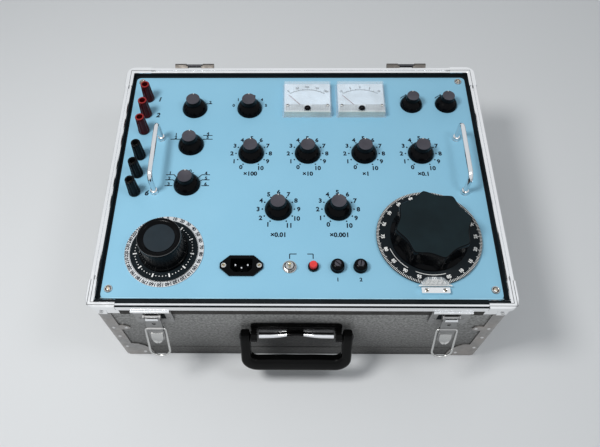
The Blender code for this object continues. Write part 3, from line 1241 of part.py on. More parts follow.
def make_sub_board():
    """The deck with its switch drums, shaft sockets, terminal studs, fuse tubes and slide-wire former."""
    outline = rounded_outline(DECK_HALF_X, DECK_HALF_Y, DECK_RADIUS, CORNER_STEPS)
    board = add_piece("sub_board", prism_mesh("sub_board", outline, DECK_BOTTOM, DECK_TOP),
                      paint("board_brown", (0.22, 0.12, 0.05), 0.6))
    root = DECK_TOP - EMBED
    stud_top = PANEL_TOP + POST_HEIGHT - POST_SOCKET_DEPTH - POST_ROOF - GAP
    tube = FUSE_STEM_RADIUS + HOLE_CLEARANCE + FUSE_TUBE_WALL
    solids = [rod_mesh("drum", DRUM_RADIUS, root, SOCKET_TOP, HOLE_SIDES, "z", (x, y, 0))
              for x, y in switch_places().values()]
    solids += [rod_mesh("stud", STUD_RADIUS, root, stud_top, HOLE_SIDES - 4, "z", (x, y, 0))
               for x, y in post_places().values()]
    solids += [rod_mesh("fuse_tube", tube, root, SOCKET_TOP, HOLE_SIDES, "z",
                        (FUSE_X + count * FUSE_PITCH, SERVICE_Y, 0)) for count in range(2)]
    solids += [rod_mesh("switch_body", SWITCH_BODY_RADIUS, root, SOCKET_TOP, HOLE_SIDES, "z",
                        (x, SERVICE_Y, 0)) for x in (TOGGLE_X, BUTTON_X)]
    solids.append(rod_mesh("hub", HUB_RADIUS, root, SOCKET_TOP, HOLE_SIDES, "z", (SLIDE_X, SLIDE_Y, 0)))
    solids.append(rod_mesh("former", FORMER_RADIUS, root, DECK_TOP + FORMER_HEIGHT, KNOB_SIDES + 6, "z",
                           (SLIDE_X, SLIDE_Y, 0)))
    join(board, solids[:-2], "fittings")
    join(board, solids[-1:], "former")
    trough = rod_mesh("trough", FORMER_RADIUS - FORMER_WALL, DECK_TOP, DECK_TOP + FORMER_HEIGHT + OVERRUN,
                      KNOB_SIDES + 6, "z", (SLIDE_X, SLIDE_Y, 0))
    cut(board, [trough], "trough")
    join(board, solids[-2:-1], "slide_hub")
    bores = []
    for x, y, radius, floor in shaft_sockets():
        bores.append(rod_mesh("bore", radius + HOLE_CLEARANCE, floor - GAP, SOCKET_TOP + OVERRUN,
                              HOLE_SIDES, "z", (x, y, 0)))
    bores.append(rod_mesh("shaft_way", REGULATOR_SHAFT_RADIUS + HOLE_CLEARANCE, DECK_BOTTOM - OVERRUN,
                          DECK_TOP + OVERRUN, HOLE_SIDES, "z", (REGULATOR_X, REGULATOR_Y, 0)))
    cut(board, bores, "bores")


def shaft_sockets():
    """Place, radius and lowest point of every shaft or stem that ends in the deck's fittings."""
    sockets = [(x, y, SHAFT_RADIUS, SHAFT_BOTTOM) for x, y in switch_places().values()]
    sockets.append((SLIDE_X, SLIDE_Y, SLIDE_SHAFT_RADIUS, SHAFT_BOTTOM))
    sockets.append((BUTTON_X, SERVICE_Y, BUTTON_RADIUS, PANEL_TOP - BUTTON_REACH - BUTTON_TRAVEL))
    for count in range(2):
        x = FUSE_X + count * FUSE_PITCH
        sockets.append((x, SERVICE_Y, FUSE_STEM_RADIUS, PANEL_TOP - FUSE_STEM_REACH))
    return sockets


def make_cores():
    """The regulator's core hangs under the deck, and the ratio transformer stands on the floor."""
    top = DECK_BOTTOM - GAP
    low = top - CORE_HEIGHT
    arm = top - CORE_ARM
    bore = REGULATOR_SHAFT_RADIUS + HOLE_CLEARANCE
    profile = [(bore, top), (CORE_RADIUS, top), (CORE_RADIUS, low), (CORE_INNER_RADIUS, low),
               (CORE_INNER_RADIUS, arm), (CORE_BOSS_RADIUS, arm), (CORE_BOSS_RADIUS, low), (bore, low)]
    add_turned("regulator_core", profile, paint("core_copper", (0.45, 0.20, 0.08), 0.5),
               (REGULATOR_X, REGULATOR_Y, 0), KNOB_SIDES + 6, ring=True)
    floor = CASE_FLOOR + GAP
    roof = floor + TRANSFORMER_HEIGHT
    edge = TRANSFORMER_EDGE
    outer, inner = TRANSFORMER_RADIUS, TRANSFORMER_INNER_RADIUS
    ring = [(inner + edge, roof), (outer - edge, roof), (outer, roof - edge), (outer, floor + edge),
            (outer - edge, floor), (inner + edge, floor), (inner, floor + edge), (inner, roof - edge)]
    add_turned("ratio_transformer", ring, paint("winding_tape", (0.55, 0.48, 0.30), 0.6),
               (TRANSFORMER_X, TRANSFORMER_Y, 0), KNOB_SIDES + 6, ring=True)


def make_all():
    make_tub()
    make_rim()
    for side_x, across in ((-1, "left"), (1, "right")):
        for side_y, depth in ((-1, "front"), (1, "back")):
            make_guard(f"corner_guard_{depth}_{across}", side_x, side_y)
        make_hinge_leaf(f"hinge_leaf_{across}", side_x * HINGE_X)
        make_latch(across, side_x * LATCH_X)
    make_handle_base()
    make_handle()
    make_panel()
    make_switch_knobs()
    make_regulator()
    make_slide_dial()
    make_vernier()
    make_terminals()
    make_bow_handle("bow_handle_left", BOW_LEFT_X)
    make_bow_handle("bow_handle_right", BOW_RIGHT_X)
    for count in range(2):
        make_meter(count + 1, METER_X + count * METER_PITCH)
    make_inlet()
    make_toggle()
    make_button()
    make_fuse_caps()
    make_sub_board()
    make_cores()


make_all()
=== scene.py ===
import math

import bmesh
import bpy
from mathutils import Matrix, Vector


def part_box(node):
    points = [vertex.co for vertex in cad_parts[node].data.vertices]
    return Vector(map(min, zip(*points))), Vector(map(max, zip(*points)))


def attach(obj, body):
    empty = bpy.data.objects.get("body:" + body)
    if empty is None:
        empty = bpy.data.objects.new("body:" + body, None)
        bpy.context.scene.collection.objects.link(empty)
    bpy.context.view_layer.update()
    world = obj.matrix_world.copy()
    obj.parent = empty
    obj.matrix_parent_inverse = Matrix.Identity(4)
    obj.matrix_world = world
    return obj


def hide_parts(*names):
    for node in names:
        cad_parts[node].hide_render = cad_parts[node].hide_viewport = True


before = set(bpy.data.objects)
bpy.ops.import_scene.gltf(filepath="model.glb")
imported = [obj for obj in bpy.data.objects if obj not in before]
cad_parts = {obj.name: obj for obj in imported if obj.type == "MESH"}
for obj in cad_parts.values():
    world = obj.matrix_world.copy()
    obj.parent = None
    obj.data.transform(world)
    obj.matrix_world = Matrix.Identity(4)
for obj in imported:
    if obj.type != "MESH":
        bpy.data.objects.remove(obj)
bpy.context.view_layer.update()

# The frame is in metres, and every mesh here is built in millimetres
MM = 0.001


def box(node):
    """The lowest and highest corners of a node, in millimetres."""
    low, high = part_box(node)
    return low / MM, high / MM


def middle(node):
    """Centre of a node's box, in millimetres."""
    low, high = box(node)
    return (low + high) / 2


def shift(x, y, z):
    return Matrix.Translation((x, y, z))


def spin(degrees, axis="Z"):
    return Matrix.Rotation(math.radians(degrees), 4, axis)


def polar(radius, degrees, x=0.0, y=0.0):
    """The point at an angle on a circle round (x, y)."""
    turn = math.radians(degrees)
    return x + radius * math.cos(turn), y + radius * math.sin(turn)


PANEL_TOP = box("panel")[1].z
CASE_MIDDLE = middle("case_tub")
RIM_TOP = 171
CASE_HALF = Vector((229, 169.15))
PANEL_HALF_X = 220.5
RIM_FRONT = 167.7
HANDLE_PIVOT = Vector((0, CASE_MIDDLE.y - 178.55, 92.5))
LATCH_PIVOT = Vector((0, CASE_MIDDLE.y - 174.75, 147))

# Camera and lamps, in metres and watts
LENS = 36.49
LENS_SHIFT = (0.0226, -0.0008)
CAMERA_PLACE = (-0.00832, CASE_MIDDLE.y * MM - 0.41907, 0.78056)
CAMERA_TURN = spin(1.378) @ spin(29.87, "X") @ spin(-1.093)
LAMP_TARGET = Vector((0, -0.02, 0.1))
LAMP_WIDTH = 0.30
LAMPS = {
    "left_key": ((-0.50, -0.22, 1.15), 7.8, (1.0, 0.99, 0.97)),
    "right_key": ((0.50, -0.22, 1.15), 1.8, (0.98, 0.99, 1.0)),
}
FILL_COLOUR, FILL_STRENGTH = (0.95, 0.98, 1.0, 1), 0.37
BACKDROP_COLOUR = (0.80, 0.82, 0.84, 1)
FLOOR_REACH = 6.0


# Camera, light and floor
def link(item):
    bpy.context.scene.collection.objects.link(item)


def make_lamp(name, place, watts, colour):
    lamp = bpy.data.lights.new(name, "AREA")
    lamp.shape = "DISK"
    lamp.size = LAMP_WIDTH
    lamp.energy = watts
    lamp.color = colour
    item = bpy.data.objects.new(name, lamp)
    item.location = place
    item.rotation_mode = "QUATERNION"
    item.rotation_quaternion = (LAMP_TARGET - Vector(place)).to_track_quat("-Z", "Y")
    link(item)


def make_camera():
    data = bpy.data.cameras.new("photo_camera")
    data.sensor_width = 36
    data.lens = LENS
    data.shift_x, data.shift_y = LENS_SHIFT
    data.dof.use_dof = False
    data.clip_start = 0.01
    item = bpy.data.objects.new("photo_camera", data)
    item.matrix_world = Matrix.Translation(CAMERA_PLACE) @ CAMERA_TURN
    link(item)
    bpy.context.scene.camera = item


def add(tree, kind, inputs, operation=None):
    """A shader node. Each of its inputs takes a value, or another node's output."""
    node = tree.nodes.new("ShaderNode" + kind)
    if operation:
        node.operation = operation
    for socket, given in inputs.items():
        if isinstance(given, bpy.types.NodeSocket):
            tree.links.new(given, node.inputs[socket])
        else:
            node.inputs[socket].default_value = given
    return node


def make_world():
    """A pale backdrop for what the camera, a mirror or glass sees, and a softer fill light."""
    world = bpy.data.worlds.new("studio")
    bpy.context.scene.world = world
    world.use_nodes = True
    tree = world.node_tree
    tree.nodes.clear()
    ray = add(tree, "LightPath", {}).outputs
    first = add(tree, "Math", {0: ray["Is Camera Ray"], 1: ray["Is Glossy Ray"]}, "MAXIMUM")
    second = add(tree, "Math", {0: first.outputs[0], 1: ray["Is Transmission Ray"]}, "MAXIMUM")
    fill = add(tree, "Background", {"Color": FILL_COLOUR, "Strength": FILL_STRENGTH})
    seen = add(tree, "Background", {"Color": BACKDROP_COLOUR, "Strength": 1.0})
    mix = add(tree, "MixShader", {"Fac": second.outputs[0], 1: fill.outputs[0], 2: seen.outputs[0]})
    add(tree, "OutputWorld", {"Surface": mix.outputs[0]})


def make_stage():
    bpy.context.scene.view_settings.view_transform = "Standard"
    make_camera()
    make_world()
    for name, given in LAMPS.items():
        make_lamp(name, *given)
    mesh = bpy.data.meshes.new("floor")
    corners = ((-1, -1), (1, -1), (1, 1), (-1, 1))
    mesh.from_pydata([(x * FLOOR_REACH, y * FLOOR_REACH, 0) for x, y in corners], [], [(0, 1, 2, 3)])
    floor = bpy.data.objects.new("floor", mesh)
    mesh.materials.append(shade("floor_pale", (0.74, 0.76, 0.78), 0.75))
    link(floor)


# Materials
def shade(name, colour, rough, metal=0.0, **more):
    """A Principled material. A further word sets the socket of that name, with spaces for underscores."""
    made = bpy.data.materials.new(name)
    made.use_nodes = True
    surface = made.node_tree.nodes["Principled BSDF"]
    surface.inputs["Base Color"].default_value = (*colour, 1)
    surface.inputs["Roughness"].default_value = rough
    surface.inputs["Metallic"].default_value = metal
    for word, value in more.items():
        surface.inputs[word.replace("_", " ")].default_value = value
    return made


def feed(made, socket, source):
    """Links an output to a socket of the surface, and gives what fed it before."""
    target = made.node_tree.nodes["Principled BSDF"].inputs[socket]
    before = target.links[0].from_socket if target.is_linked else None
    made.node_tree.links.new(source, target)
    return before


def spot(made):
    """Coordinates that stay with the mesh, in metres."""
    return add(made.node_tree, "TexCoord", {}).outputs["Object"]


def noise(made, scale, detail=3.0):
    given = {"Scale": scale, "Detail": detail, "Roughness": 0.55, "Vector": spot(made)}
    return add(made.node_tree, "TexNoise", given).outputs["Fac"]


def cells(made, scale):
    texture = add(made.node_tree, "TexVoronoi", {"Scale": scale, "Vector": spot(made)})
    texture.feature = "SMOOTH_F1"
    return texture.outputs["Distance"]


def spread(made, value, low, high, least, most):
    """Carries a value from one range to another."""
    return add(made.node_tree, "MapRange", {"Value": value, "From Min": low, "From Max": high,
                                            "To Min": least, "To Max": most})


def tint(made, height, dark, light, low=0.3, high=0.7):
    """Colours the surface between two colours by a height."""
    ramp = add(made.node_tree, "ValToRGB", {"Fac": height})
    for element, place, colour in zip(ramp.color_ramp.elements, (low, high), (dark, light)):
        element.position = place
        element.color = (*colour, 1)
    feed(made, "Base Color", ramp.outputs["Color"])


def gloss(made, height, least, most):
    """Sets the roughness between two values by a height."""
    feed(made, "Roughness", spread(made, height, 0.3, 0.7, least, most).outputs["Result"])


def relief(made, height, depth, strength):
    """Adds a bump of this depth in metres, on top of one that is there."""
    bump = add(made.node_tree, "Bump", {"Strength": strength, "Distance": depth, "Height": height})
    before = feed(made, "Normal", bump.outputs["Normal"])
    if before:
        made.node_tree.links.new(before, bump.inputs["Normal"])


def grime(made):
    """Paints shade into the covering's colour: darker towards its foot, with a painted shadow round where the
    handle hangs on it.
    """
    tree = made.node_tree
    upright = add(tree, "SeparateXYZ", {"Vector": spot(made)}).outputs["Z"]
    # Painted shade: the colour grows darker towards the foot of the case.
    height = spread(made, upright, 0.0, 0.165, 0.07, 1.06)
    # Painted shadow of the handle, round where it hangs on the covering.
    shadow_centre = (middle("handle_base").x * MM, (CASE_MIDDLE.y - CASE_HALF.y) * MM, 0.066)
    size = (0.074, 0.05, 0.060)
    place = add(tree, "VectorMath", {0: spot(made), 1: shadow_centre}, "SUBTRACT")
    squeeze = add(tree, "VectorMath", {0: place.outputs[0], 1: [1 / along for along in size]}, "MULTIPLY")
    away = add(tree, "VectorMath", {0: squeeze.outputs[0]}, "LENGTH")
    shadow_patch = spread(made, away.outputs["Value"], 0.55, 1.25, 0.08, 1.0)
    shadow_patch.interpolation_type = "SMOOTHSTEP"
    both = add(tree, "Math", {0: height.outputs["Result"], 1: shadow_patch.outputs["Result"]}, "MULTIPLY")
    scale = add(tree, "VectorMath", {"Scale": both.outputs[0]}, "SCALE")
    before = feed(made, "Base Color", scale.outputs[0])
    tree.links.new(before, scale.inputs[0])


def metal(name, colour, rough, scale=160):
    made = shade(name, colour, rough, 1.0)
    grain = noise(made, scale, 4)
    gloss(made, grain, rough * 0.75, rough * 1.35)
    tint(made, noise(made, 9), [part * 0.93 for part in colour], colour)
    relief(made, grain, 0.000006, 0.3)
    return made


def plastic(name, colour, rough, shine=0.5):
    made = shade(name, colour, rough, 0.0, Specular_IOR_Level=shine)
    gloss(made, noise(made, 60, 4), rough * 0.8, rough * 1.25)
    tint(made, noise(made, 35), [part * 0.8 for part in colour], [part * 1.2 for part in colour])
    relief(made, noise(made, 900, 2), 0.00002, 0.4)
    return made


# For each kind: the material's name, colour and roughness, then the scale of its grain
METALS = {
    "rim": ("rim_aluminium", (0.93, 0.94, 0.95), 0.18),
    "guard": ("guard_sheet", (0.32, 0.32, 0.32), 0.40),
    "casting": ("casting_metal", (0.60, 0.60, 0.60), 0.34),
    "nickel": ("nickel_plate", (0.60, 0.60, 0.59), 0.22, 220),
    "lip": ("bright_lip", (0.92, 0.93, 0.95), 0.16, 220),
    "latch": ("latch_plate_metal", (0.30, 0.30, 0.30), 0.38, 220),
    "chrome": ("chrome_plate", (0.80, 0.82, 0.84), 0.10, 300),
    "dull": ("hinge_plate", (0.12, 0.11, 0.10), 0.40),
    "brass": ("brass", (0.50, 0.42, 0.27), 0.30),
    "worn_slot": ("worn_slot", (0.46, 0.36, 0.22), 0.40),
    "dark_steel": ("dark_steel", (0.05, 0.05, 0.055), 0.35),
    "screw": ("screw_steel", (0.58, 0.58, 0.57), 0.28),
    "ring": ("ring_satin", (0.74, 0.76, 0.77), 0.26),
}

# For each kind: the material's name, colour and roughness, then its shine
PLASTICS = {
    "black": ("knob_black", (0.0020, 0.0022, 0.0028), 0.18, 0.06),
    "cap": ("knob_cap_grey", (0.062, 0.060, 0.074), 0.50, 0.2),
    "index": ("index_white", (0.86, 0.87, 0.86), 0.5),
    "ink": ("print_ink", (0.005, 0.009, 0.018), 0.6, 0.1),
    "skirt_shadow": ("painted_rim_shadow", (0.040, 0.037, 0.034), 0.6, 0.2),
    "rubber": ("gasket_rubber", (0.004, 0.007, 0.009), 0.7, 0.12),
    "edge": ("panel_edge_highlight", (0.42, 0.70, 0.86), 0.4, 0.3),
    "edge_glint": ("painted_edge_highlight", (0.060, 0.062, 0.064), 0.35, 0.4),
    "red_post": ("post_red", (0.042, 0.001, 0.002), 0.22, 0.14),
    "red_top_glint": ("post_red_painted_highlight", (0.24, 0.008, 0.008), 0.30, 0.3),
    "black_post": ("post_black", (0.0028, 0.0034, 0.0040), 0.24, 0.07),
    "dial": ("dial_black", (0.005, 0.009, 0.012), 0.38, 0.08),
    "slide_top_reflection": ("slide_knob_painted_reflection", (0.006, 0.013, 0.016), 0.42, 0.10),
    "ring_top_reflection": ("ring_knob_painted_reflection", (0.013, 0.021, 0.028), 0.40, 0.16),
    "card": ("meter_card", (0.82, 0.91, 1.0), 0.6),
    "band": ("meter_band", (0.74, 0.78, 0.80), 0.5),
    "line": ("meter_band_line", (0.30, 0.33, 0.36), 0.5),
    "front": ("meter_front", (0.56, 0.64, 0.60), 0.5),
    "needle": ("needle_red", (0.16, 0.015, 0.02), 0.5),
    "button": ("button_red", (0.80, 0.055, 0.055), 0.35, 0.3),
    "handle": ("handle_black", (0.0022, 0.0022, 0.0022), 0.14, 0.10),
    "board": ("board_brown", (0.20, 0.11, 0.05), 0.6),
    "winding": ("winding_tape", (0.42, 0.33, 0.16), 0.6),
}


def leather(name, colour, rough, dark, light, least, most):
    """The grained covering of the case."""
    made = shade(name, colour, rough, 0.3)
    tint(made, noise(made, 330, 4), dark, light, 0.36, 0.64)
    # Painted shade on the covering, towards its foot and round the handle.
    grime(made)
    gloss(made, noise(made, 500, 2), least, most)
    relief(made, cells(made, 560), 0.0006, 0.9)
    return made


def make_shades():
    kinds = {kind: metal(*given) for kind, given in METALS.items()}
    kinds.update({kind: plastic(*given) for kind, given in PLASTICS.items()})
    covering = leather("covering_grey", (0.30, 0.30, 0.29), 0.42, (0.18, 0.18, 0.175), (0.46, 0.46, 0.45),
                       0.34, 0.55)
    relief(covering, noise(covering, 260), 0.0004, 0.6)
    # The foot strip is a darker copy of the covering: painted shade along the foot of the case.
    foot = leather("foot_grey", (0.20, 0.20, 0.19), 0.45, (0.15, 0.15, 0.145), (0.34, 0.33, 0.31), 0.38, 0.58)
    tint(kinds["guard"], noise(kinds["guard"], 26), (0.27, 0.27, 0.27), (0.37, 0.34, 0.32))
    paint = shade("panel_paint", (0.262, 0.535, 0.715), 0.38, 0.0, Specular_IOR_Level=0.25)
    tint(paint, noise(paint, 7, 4), (0.250, 0.520, 0.700), (0.274, 0.550, 0.730))
    gloss(paint, noise(paint, 40), 0.33, 0.45)
    relief(paint, noise(paint, 700), 0.00003, 0.35)
    clear = shade("meter_clear", (0.82, 0.90, 0.96), 0.10, 0.0, Alpha=0.22)
    gloss(clear, noise(clear, 40, 2), 0.07, 0.14)
    relief(clear, noise(clear, 30, 2), 0.00002, 0.2)
    kinds.update(covering=covering, foot=foot, panel=paint, clear=clear)
    return kinds


KINDS = make_shades()


# Meshes
def ring_of(count, radius, height, flute=0.0, lobes=0):
    """Points round a circle. A flute draws the radius in between the lobes."""
    points = []
    for step in range(count):
        degrees = 360 * step / count
        reach = radius - flute * (1 - polar(1, lobes * degrees)[0]) / 2
        points.append((*polar(reach, degrees), height))
    return points


def rounded(half_x, half_y, radius, steps):
    """A rectangle with round corners, anticlockwise."""
    points = []
    for quarter, (side_x, side_y) in enumerate(((1, 1), (-1, 1), (-1, -1), (1, -1))):
        for step in range(steps + 1):
            points.append(polar(radius, 90 * (quarter + step / steps),
                                side_x * (half_x - radius), side_y * (half_y - radius)))
    return points


def level(outline, height):
    return [(u, v, height) for u, v in outline]


class Build:
    """Gathers solids with their materials, and makes one piece of them."""

    def __init__(self, place=(0, 0, 0), turn=None):
        self.mesh = bmesh.new()
        self.shades = []
        self.put = Matrix.Scale(MM, 4) @ Matrix.Translation(place)
        if turn:
            self.put = self.put @ turn

    def slot(self, kind):
        if KINDS[kind] not in self.shades:
            self.shades.append(KINDS[kind])
        return self.shades.index(KINDS[kind])

    def loft(self, loops, kind, closed=False, put=None):
        """A skin through loops of equal count. A loop of one point closes to a tip."""
        index = self.slot(kind)
        move = self.put @ put if put else self.put
        rows = [[self.mesh.verts.new(move @ Vector(point)) for point in loop] for loop in loops]
        faces = []
        pairs = list(zip(rows, rows[1:]))
        if closed:
            pairs.append((rows[-1], rows[0]))
        else:
            for row in (rows[0], rows[-1]):
                if len(row) > 2:
                    faces.append(self.mesh.faces.new(row))
        for low, high in pairs:
            count = max(len(low), len(high))
            for here in range(count):
                after = (here + 1) % count
                if len(low) == 1:
                    corners = (low[0], high[after], high[here])
                elif len(high) == 1:
                    corners = (low[here], low[after], high[0])
                else:
                    corners = (low[here], low[after], high[after], high[here])
                faces.append(self.mesh.faces.new(corners))
        for face in faces:
            face.material_index = index
        bmesh.ops.recalc_face_normals(self.mesh, faces=faces)

    def lathe(self, profile, kind, count=64, lobes=0, closed=False, put=None):
        """A profile of (radius, height) or (radius, height, flute) turned about Z."""
        loops = []
        for radius, height, *flute in profile:
            if radius == 0:
                loops.append([(0, 0, height)])
            else:
                loops.append(ring_of(count, radius, height, flute[0] if flute else 0.0, lobes))
        self.loft(loops, kind, closed=closed, put=put)

    def disc(self, radius, low, high, kind, count, put=None):
        self.lathe([(0, high), (radius, high), (radius, low), (0, low)], kind, count, put=put)

    def prism(self, outline, low, high, kind, edge=0.0, put=None):
        """A flat outline given a thickness, with its top and bottom edges drawn in."""
        if edge == 0:
            self.loft([level(outline, low), level(outline, high)], kind, put=put)
            return
        middle_u = sum(u for u, v in outline) / len(outline)
        middle_v = sum(v for u, v in outline) / len(outline)
        scale_u = 1 - edge / max(abs(u - middle_u) for u, v in outline)
        scale_v = 1 - edge / max(abs(v - middle_v) for u, v in outline)
        small = [(middle_u + (u - middle_u) * scale_u, middle_v + (v - middle_v) * scale_v)
                 for u, v in outline]
        self.loft([level(small, low), level(outline, low + edge), level(outline, high - edge),
                   level(small, high)], kind, put=put)

    def block(self, low, high, kind, edge=0.0, put=None):
        outline = [(high[0], high[1]), (low[0], high[1]), (low[0], low[1]), (high[0], low[1])]
        self.prism(outline, low[2], high[2], kind, edge, put)

    def bar(self, half_x, half_y, low, high, kind, put):
        """A block centred on the axis, such as the slot of a screw."""
        self.block((-half_x, -half_y, low), (half_x, half_y, high), kind, put=put)

    def tube(self, path, radius, kind, count, sizes=None):
        """A round rod along points, square to the way it goes."""
        points = [Vector(point) for point in path]
        last = len(points) - 1
        loops = []
        side = None
        for at, point in enumerate(points):
            along = (points[min(at + 1, last)] - points[max(at - 1, 0)]).normalized()
            if side is None:
                side = along.orthogonal().normalized()
            side = (side - along * side.dot(along)).normalized()
            up = along.cross(side)
            circle = ring_of(count, radius * (sizes[at] if sizes else 1.0), 0)
            loops.append([tuple(point + side * u + up * v) for u, v, height in circle])
        self.loft(loops, kind)

    def flat_bar(self, start, end, width, low, high, kind):
        """A thin printed line between two points of a level."""
        along = Vector((end[0] - start[0], end[1] - start[1]))
        side = Vector((-along.y, along.x)).normalized() * width / 2
        outline = [(start[0] - side.x, start[1] - side.y), (end[0] - side.x, end[1] - side.y),
                   (end[0] + side.x, end[1] + side.y), (start[0] + side.x, start[1] + side.y)]
        self.prism(outline, low, high, kind)

    def tick(self, degrees, inner, outer, width, low, high, kind, y=0.0):
        """A thin line on a radius."""
        self.flat_bar(polar(inner, degrees, 0, y), polar(outer, degrees, 0, y), width, low, high, kind)

    def arc(self, turns, radius, width, low, high, kind, x=0.0, y=0.0):
        """Thin lines end to end round a circle."""
        points = [polar(radius, degrees, x, y) for degrees in turns]
        for start, end in zip(points, points[1:]):
            self.flat_bar(start, end, width, low, high, kind)

    def write(self, words, x, y, size, low, kind, turn=0.0, slant=0.0, thick=0.08):
        """Thin raised characters, centred on a place."""
        index = self.slot(kind)
        faces_before = len(self.mesh.faces)
        verts_before = len(self.mesh.verts)
        self.mesh.from_mesh(glyph_mesh(words, slant))
        self.mesh.verts.ensure_lookup_table()
        self.mesh.faces.ensure_lookup_table()
        move = self.put @ shift(x, y, low) @ spin(turn) @ Matrix.Diagonal((size, size, thick, 1))
        for vert in self.mesh.verts[verts_before:]:
            vert.co = move @ vert.co
        for face in self.mesh.faces[faces_before:]:
            face.material_index = index

    def finish(self, name, body, angle=35, slot=None, replaces=()):
        mesh = bpy.data.meshes.new(name)
        self.mesh.to_mesh(mesh)
        self.mesh.free()
        for made in self.shades:
            mesh.materials.append(made)
        mesh.shade_smooth()
        mesh.set_sharp_from_angle(angle=math.radians(angle))
        item = bpy.data.objects.new(name, mesh)
        link(item)
        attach(item, body)
        if replaces:
            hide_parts(*replaces)


# Height of a digit in the built-in font, in its own units
GLYPH_HEIGHT = 0.69
GLYPHS = {}


def glyph_mesh(words, slant):
    """Characters one unit high and one thick, centred across and up."""
    key = (words, slant)
    if key not in GLYPHS:
        data = bpy.data.curves.new("glyph", "FONT")
        data.body = words
        data.shear = slant
        data.extrude = 0.5
        data.offset = 0.040
        data.resolution_u = 3
        item = bpy.data.objects.new("glyph", data)
        link(item)
        bpy.context.view_layer.update()
        mesh = bpy.data.meshes.new_from_object(item.evaluated_get(bpy.context.evaluated_depsgraph_get()))
        bpy.data.objects.remove(item)
        xs = [vert.co.x for vert in mesh.vertices]
        mesh.transform(Matrix.Diagonal((1 / GLYPH_HEIGHT, 1 / GLYPH_HEIGHT, 1, 1))
                       @ shift(-(min(xs) + max(xs)) / 2, -GLYPH_HEIGHT / 2, 0.5))
        GLYPHS[key] = mesh
    return GLYPHS[key]


def on_panel(node, turn=None):
    """A build that stands on the panel at a node's middle."""
    where = middle(node)
    return Build((where.x, where.y, PANEL_TOP), turn)


def on_case():
    return Build((0, CASE_MIDDLE.y, 0))


# Small rotary knobs
def knob_rows(scale):
    """The flared side of a small knob from the cap's edge down, with the knurl's depth."""
    rows = [(8.35, 20.2, 0), (8.7, 19.9, 0), (8.7, 19.2, 0), (8.2, 18.9, 0), (8.1, 18.5, 0), (8.55, 18.2, 0),
            (8.75, 17.9, 0.3), (8.85, 14.0, 0.3), (9.0, 12.4, 0.15), (9.6, 11.2, 0), (10.8, 10.0, 0),
            (12.2, 8.8, 0), (13.5, 7.3, 0), (14.5, 5.7, 0), (15.3, 4.0, 0), (15.9, 2.4, 0), (16.2, 1.3, 0),
            (16.2, 0.6, 0), (15.9, 0.3, 0), (3.0, 0.3, 0), (3.0, -5.0, 0), (0, -5.0, 0)]
    return [(radius * scale[0], height * (scale[1] if height > 0.3 else 1), flute)
            for radius, height, flute in rows]


def make_small_knob(node, body, scale=(1.0, 1.0)):
    """A cap disc, a knurled barrel and a flared skirt with its index."""
    build = on_panel(node)
    rows = knob_rows(scale)
    edge, top = rows[0][:2]
    build.lathe([(0, top - 0.2), (7.6 * scale[0], top - 0.2), (7.9 * scale[0], top)] + rows[:3], "cap")
    build.lathe([(0, rows[3][1])] + rows[3:], "black", 144, 36)
    build.flat_bar((0, edge * 0.86), (0, edge * 1.03), 0.9, top - 0.4, top + 0.12, "index")
    build.finish(node + "_dressed", body, 40, "knob_black", (node,))


# The panel's print, with its levels, line width and two sizes of character
INK_LOW = PANEL_TOP + 0.03
INK_HIGH = PANEL_TOP + 0.11
INK_LINE = 1.1
TALL, SMALL = 5.6, 4.2


def print_decade(build, node, first, label, label_drop):
    """Dots and numbers round a decade, thirty degrees apart, and its multiplier below."""
    where = middle(node)
    for number in range(first, first + 11):
        degrees = 240 - 30 * (number - first)
        x, y = polar(19, degrees, where.x, where.y)
        build.prism([polar(1, 36 * k, x, y) for k in range(10)], INK_LOW, INK_HIGH, "ink")
        x, y = polar(24 if number < 10 else 25.6, degrees, where.x, where.y)
        build.write(str(number), x, y, TALL, INK_LOW, "ink")
    build.write(label, where.x, where.y - label_drop, TALL, INK_LOW, "ink")


def print_lines(build, node, lines, numbers=()):
    """Leader lines and numbers near a control, from its middle."""
    where = middle(node)
    for x0, y0, x1, y1 in lines:
        build.flat_bar((where.x + x0, where.y + y0), (where.x + x1, where.y + y1),
                       INK_LINE, INK_LOW, INK_HIGH, "ink")
    for words, x, y in numbers:
        build.write(words, where.x + x, where.y + y, SMALL, INK_LOW, "ink")


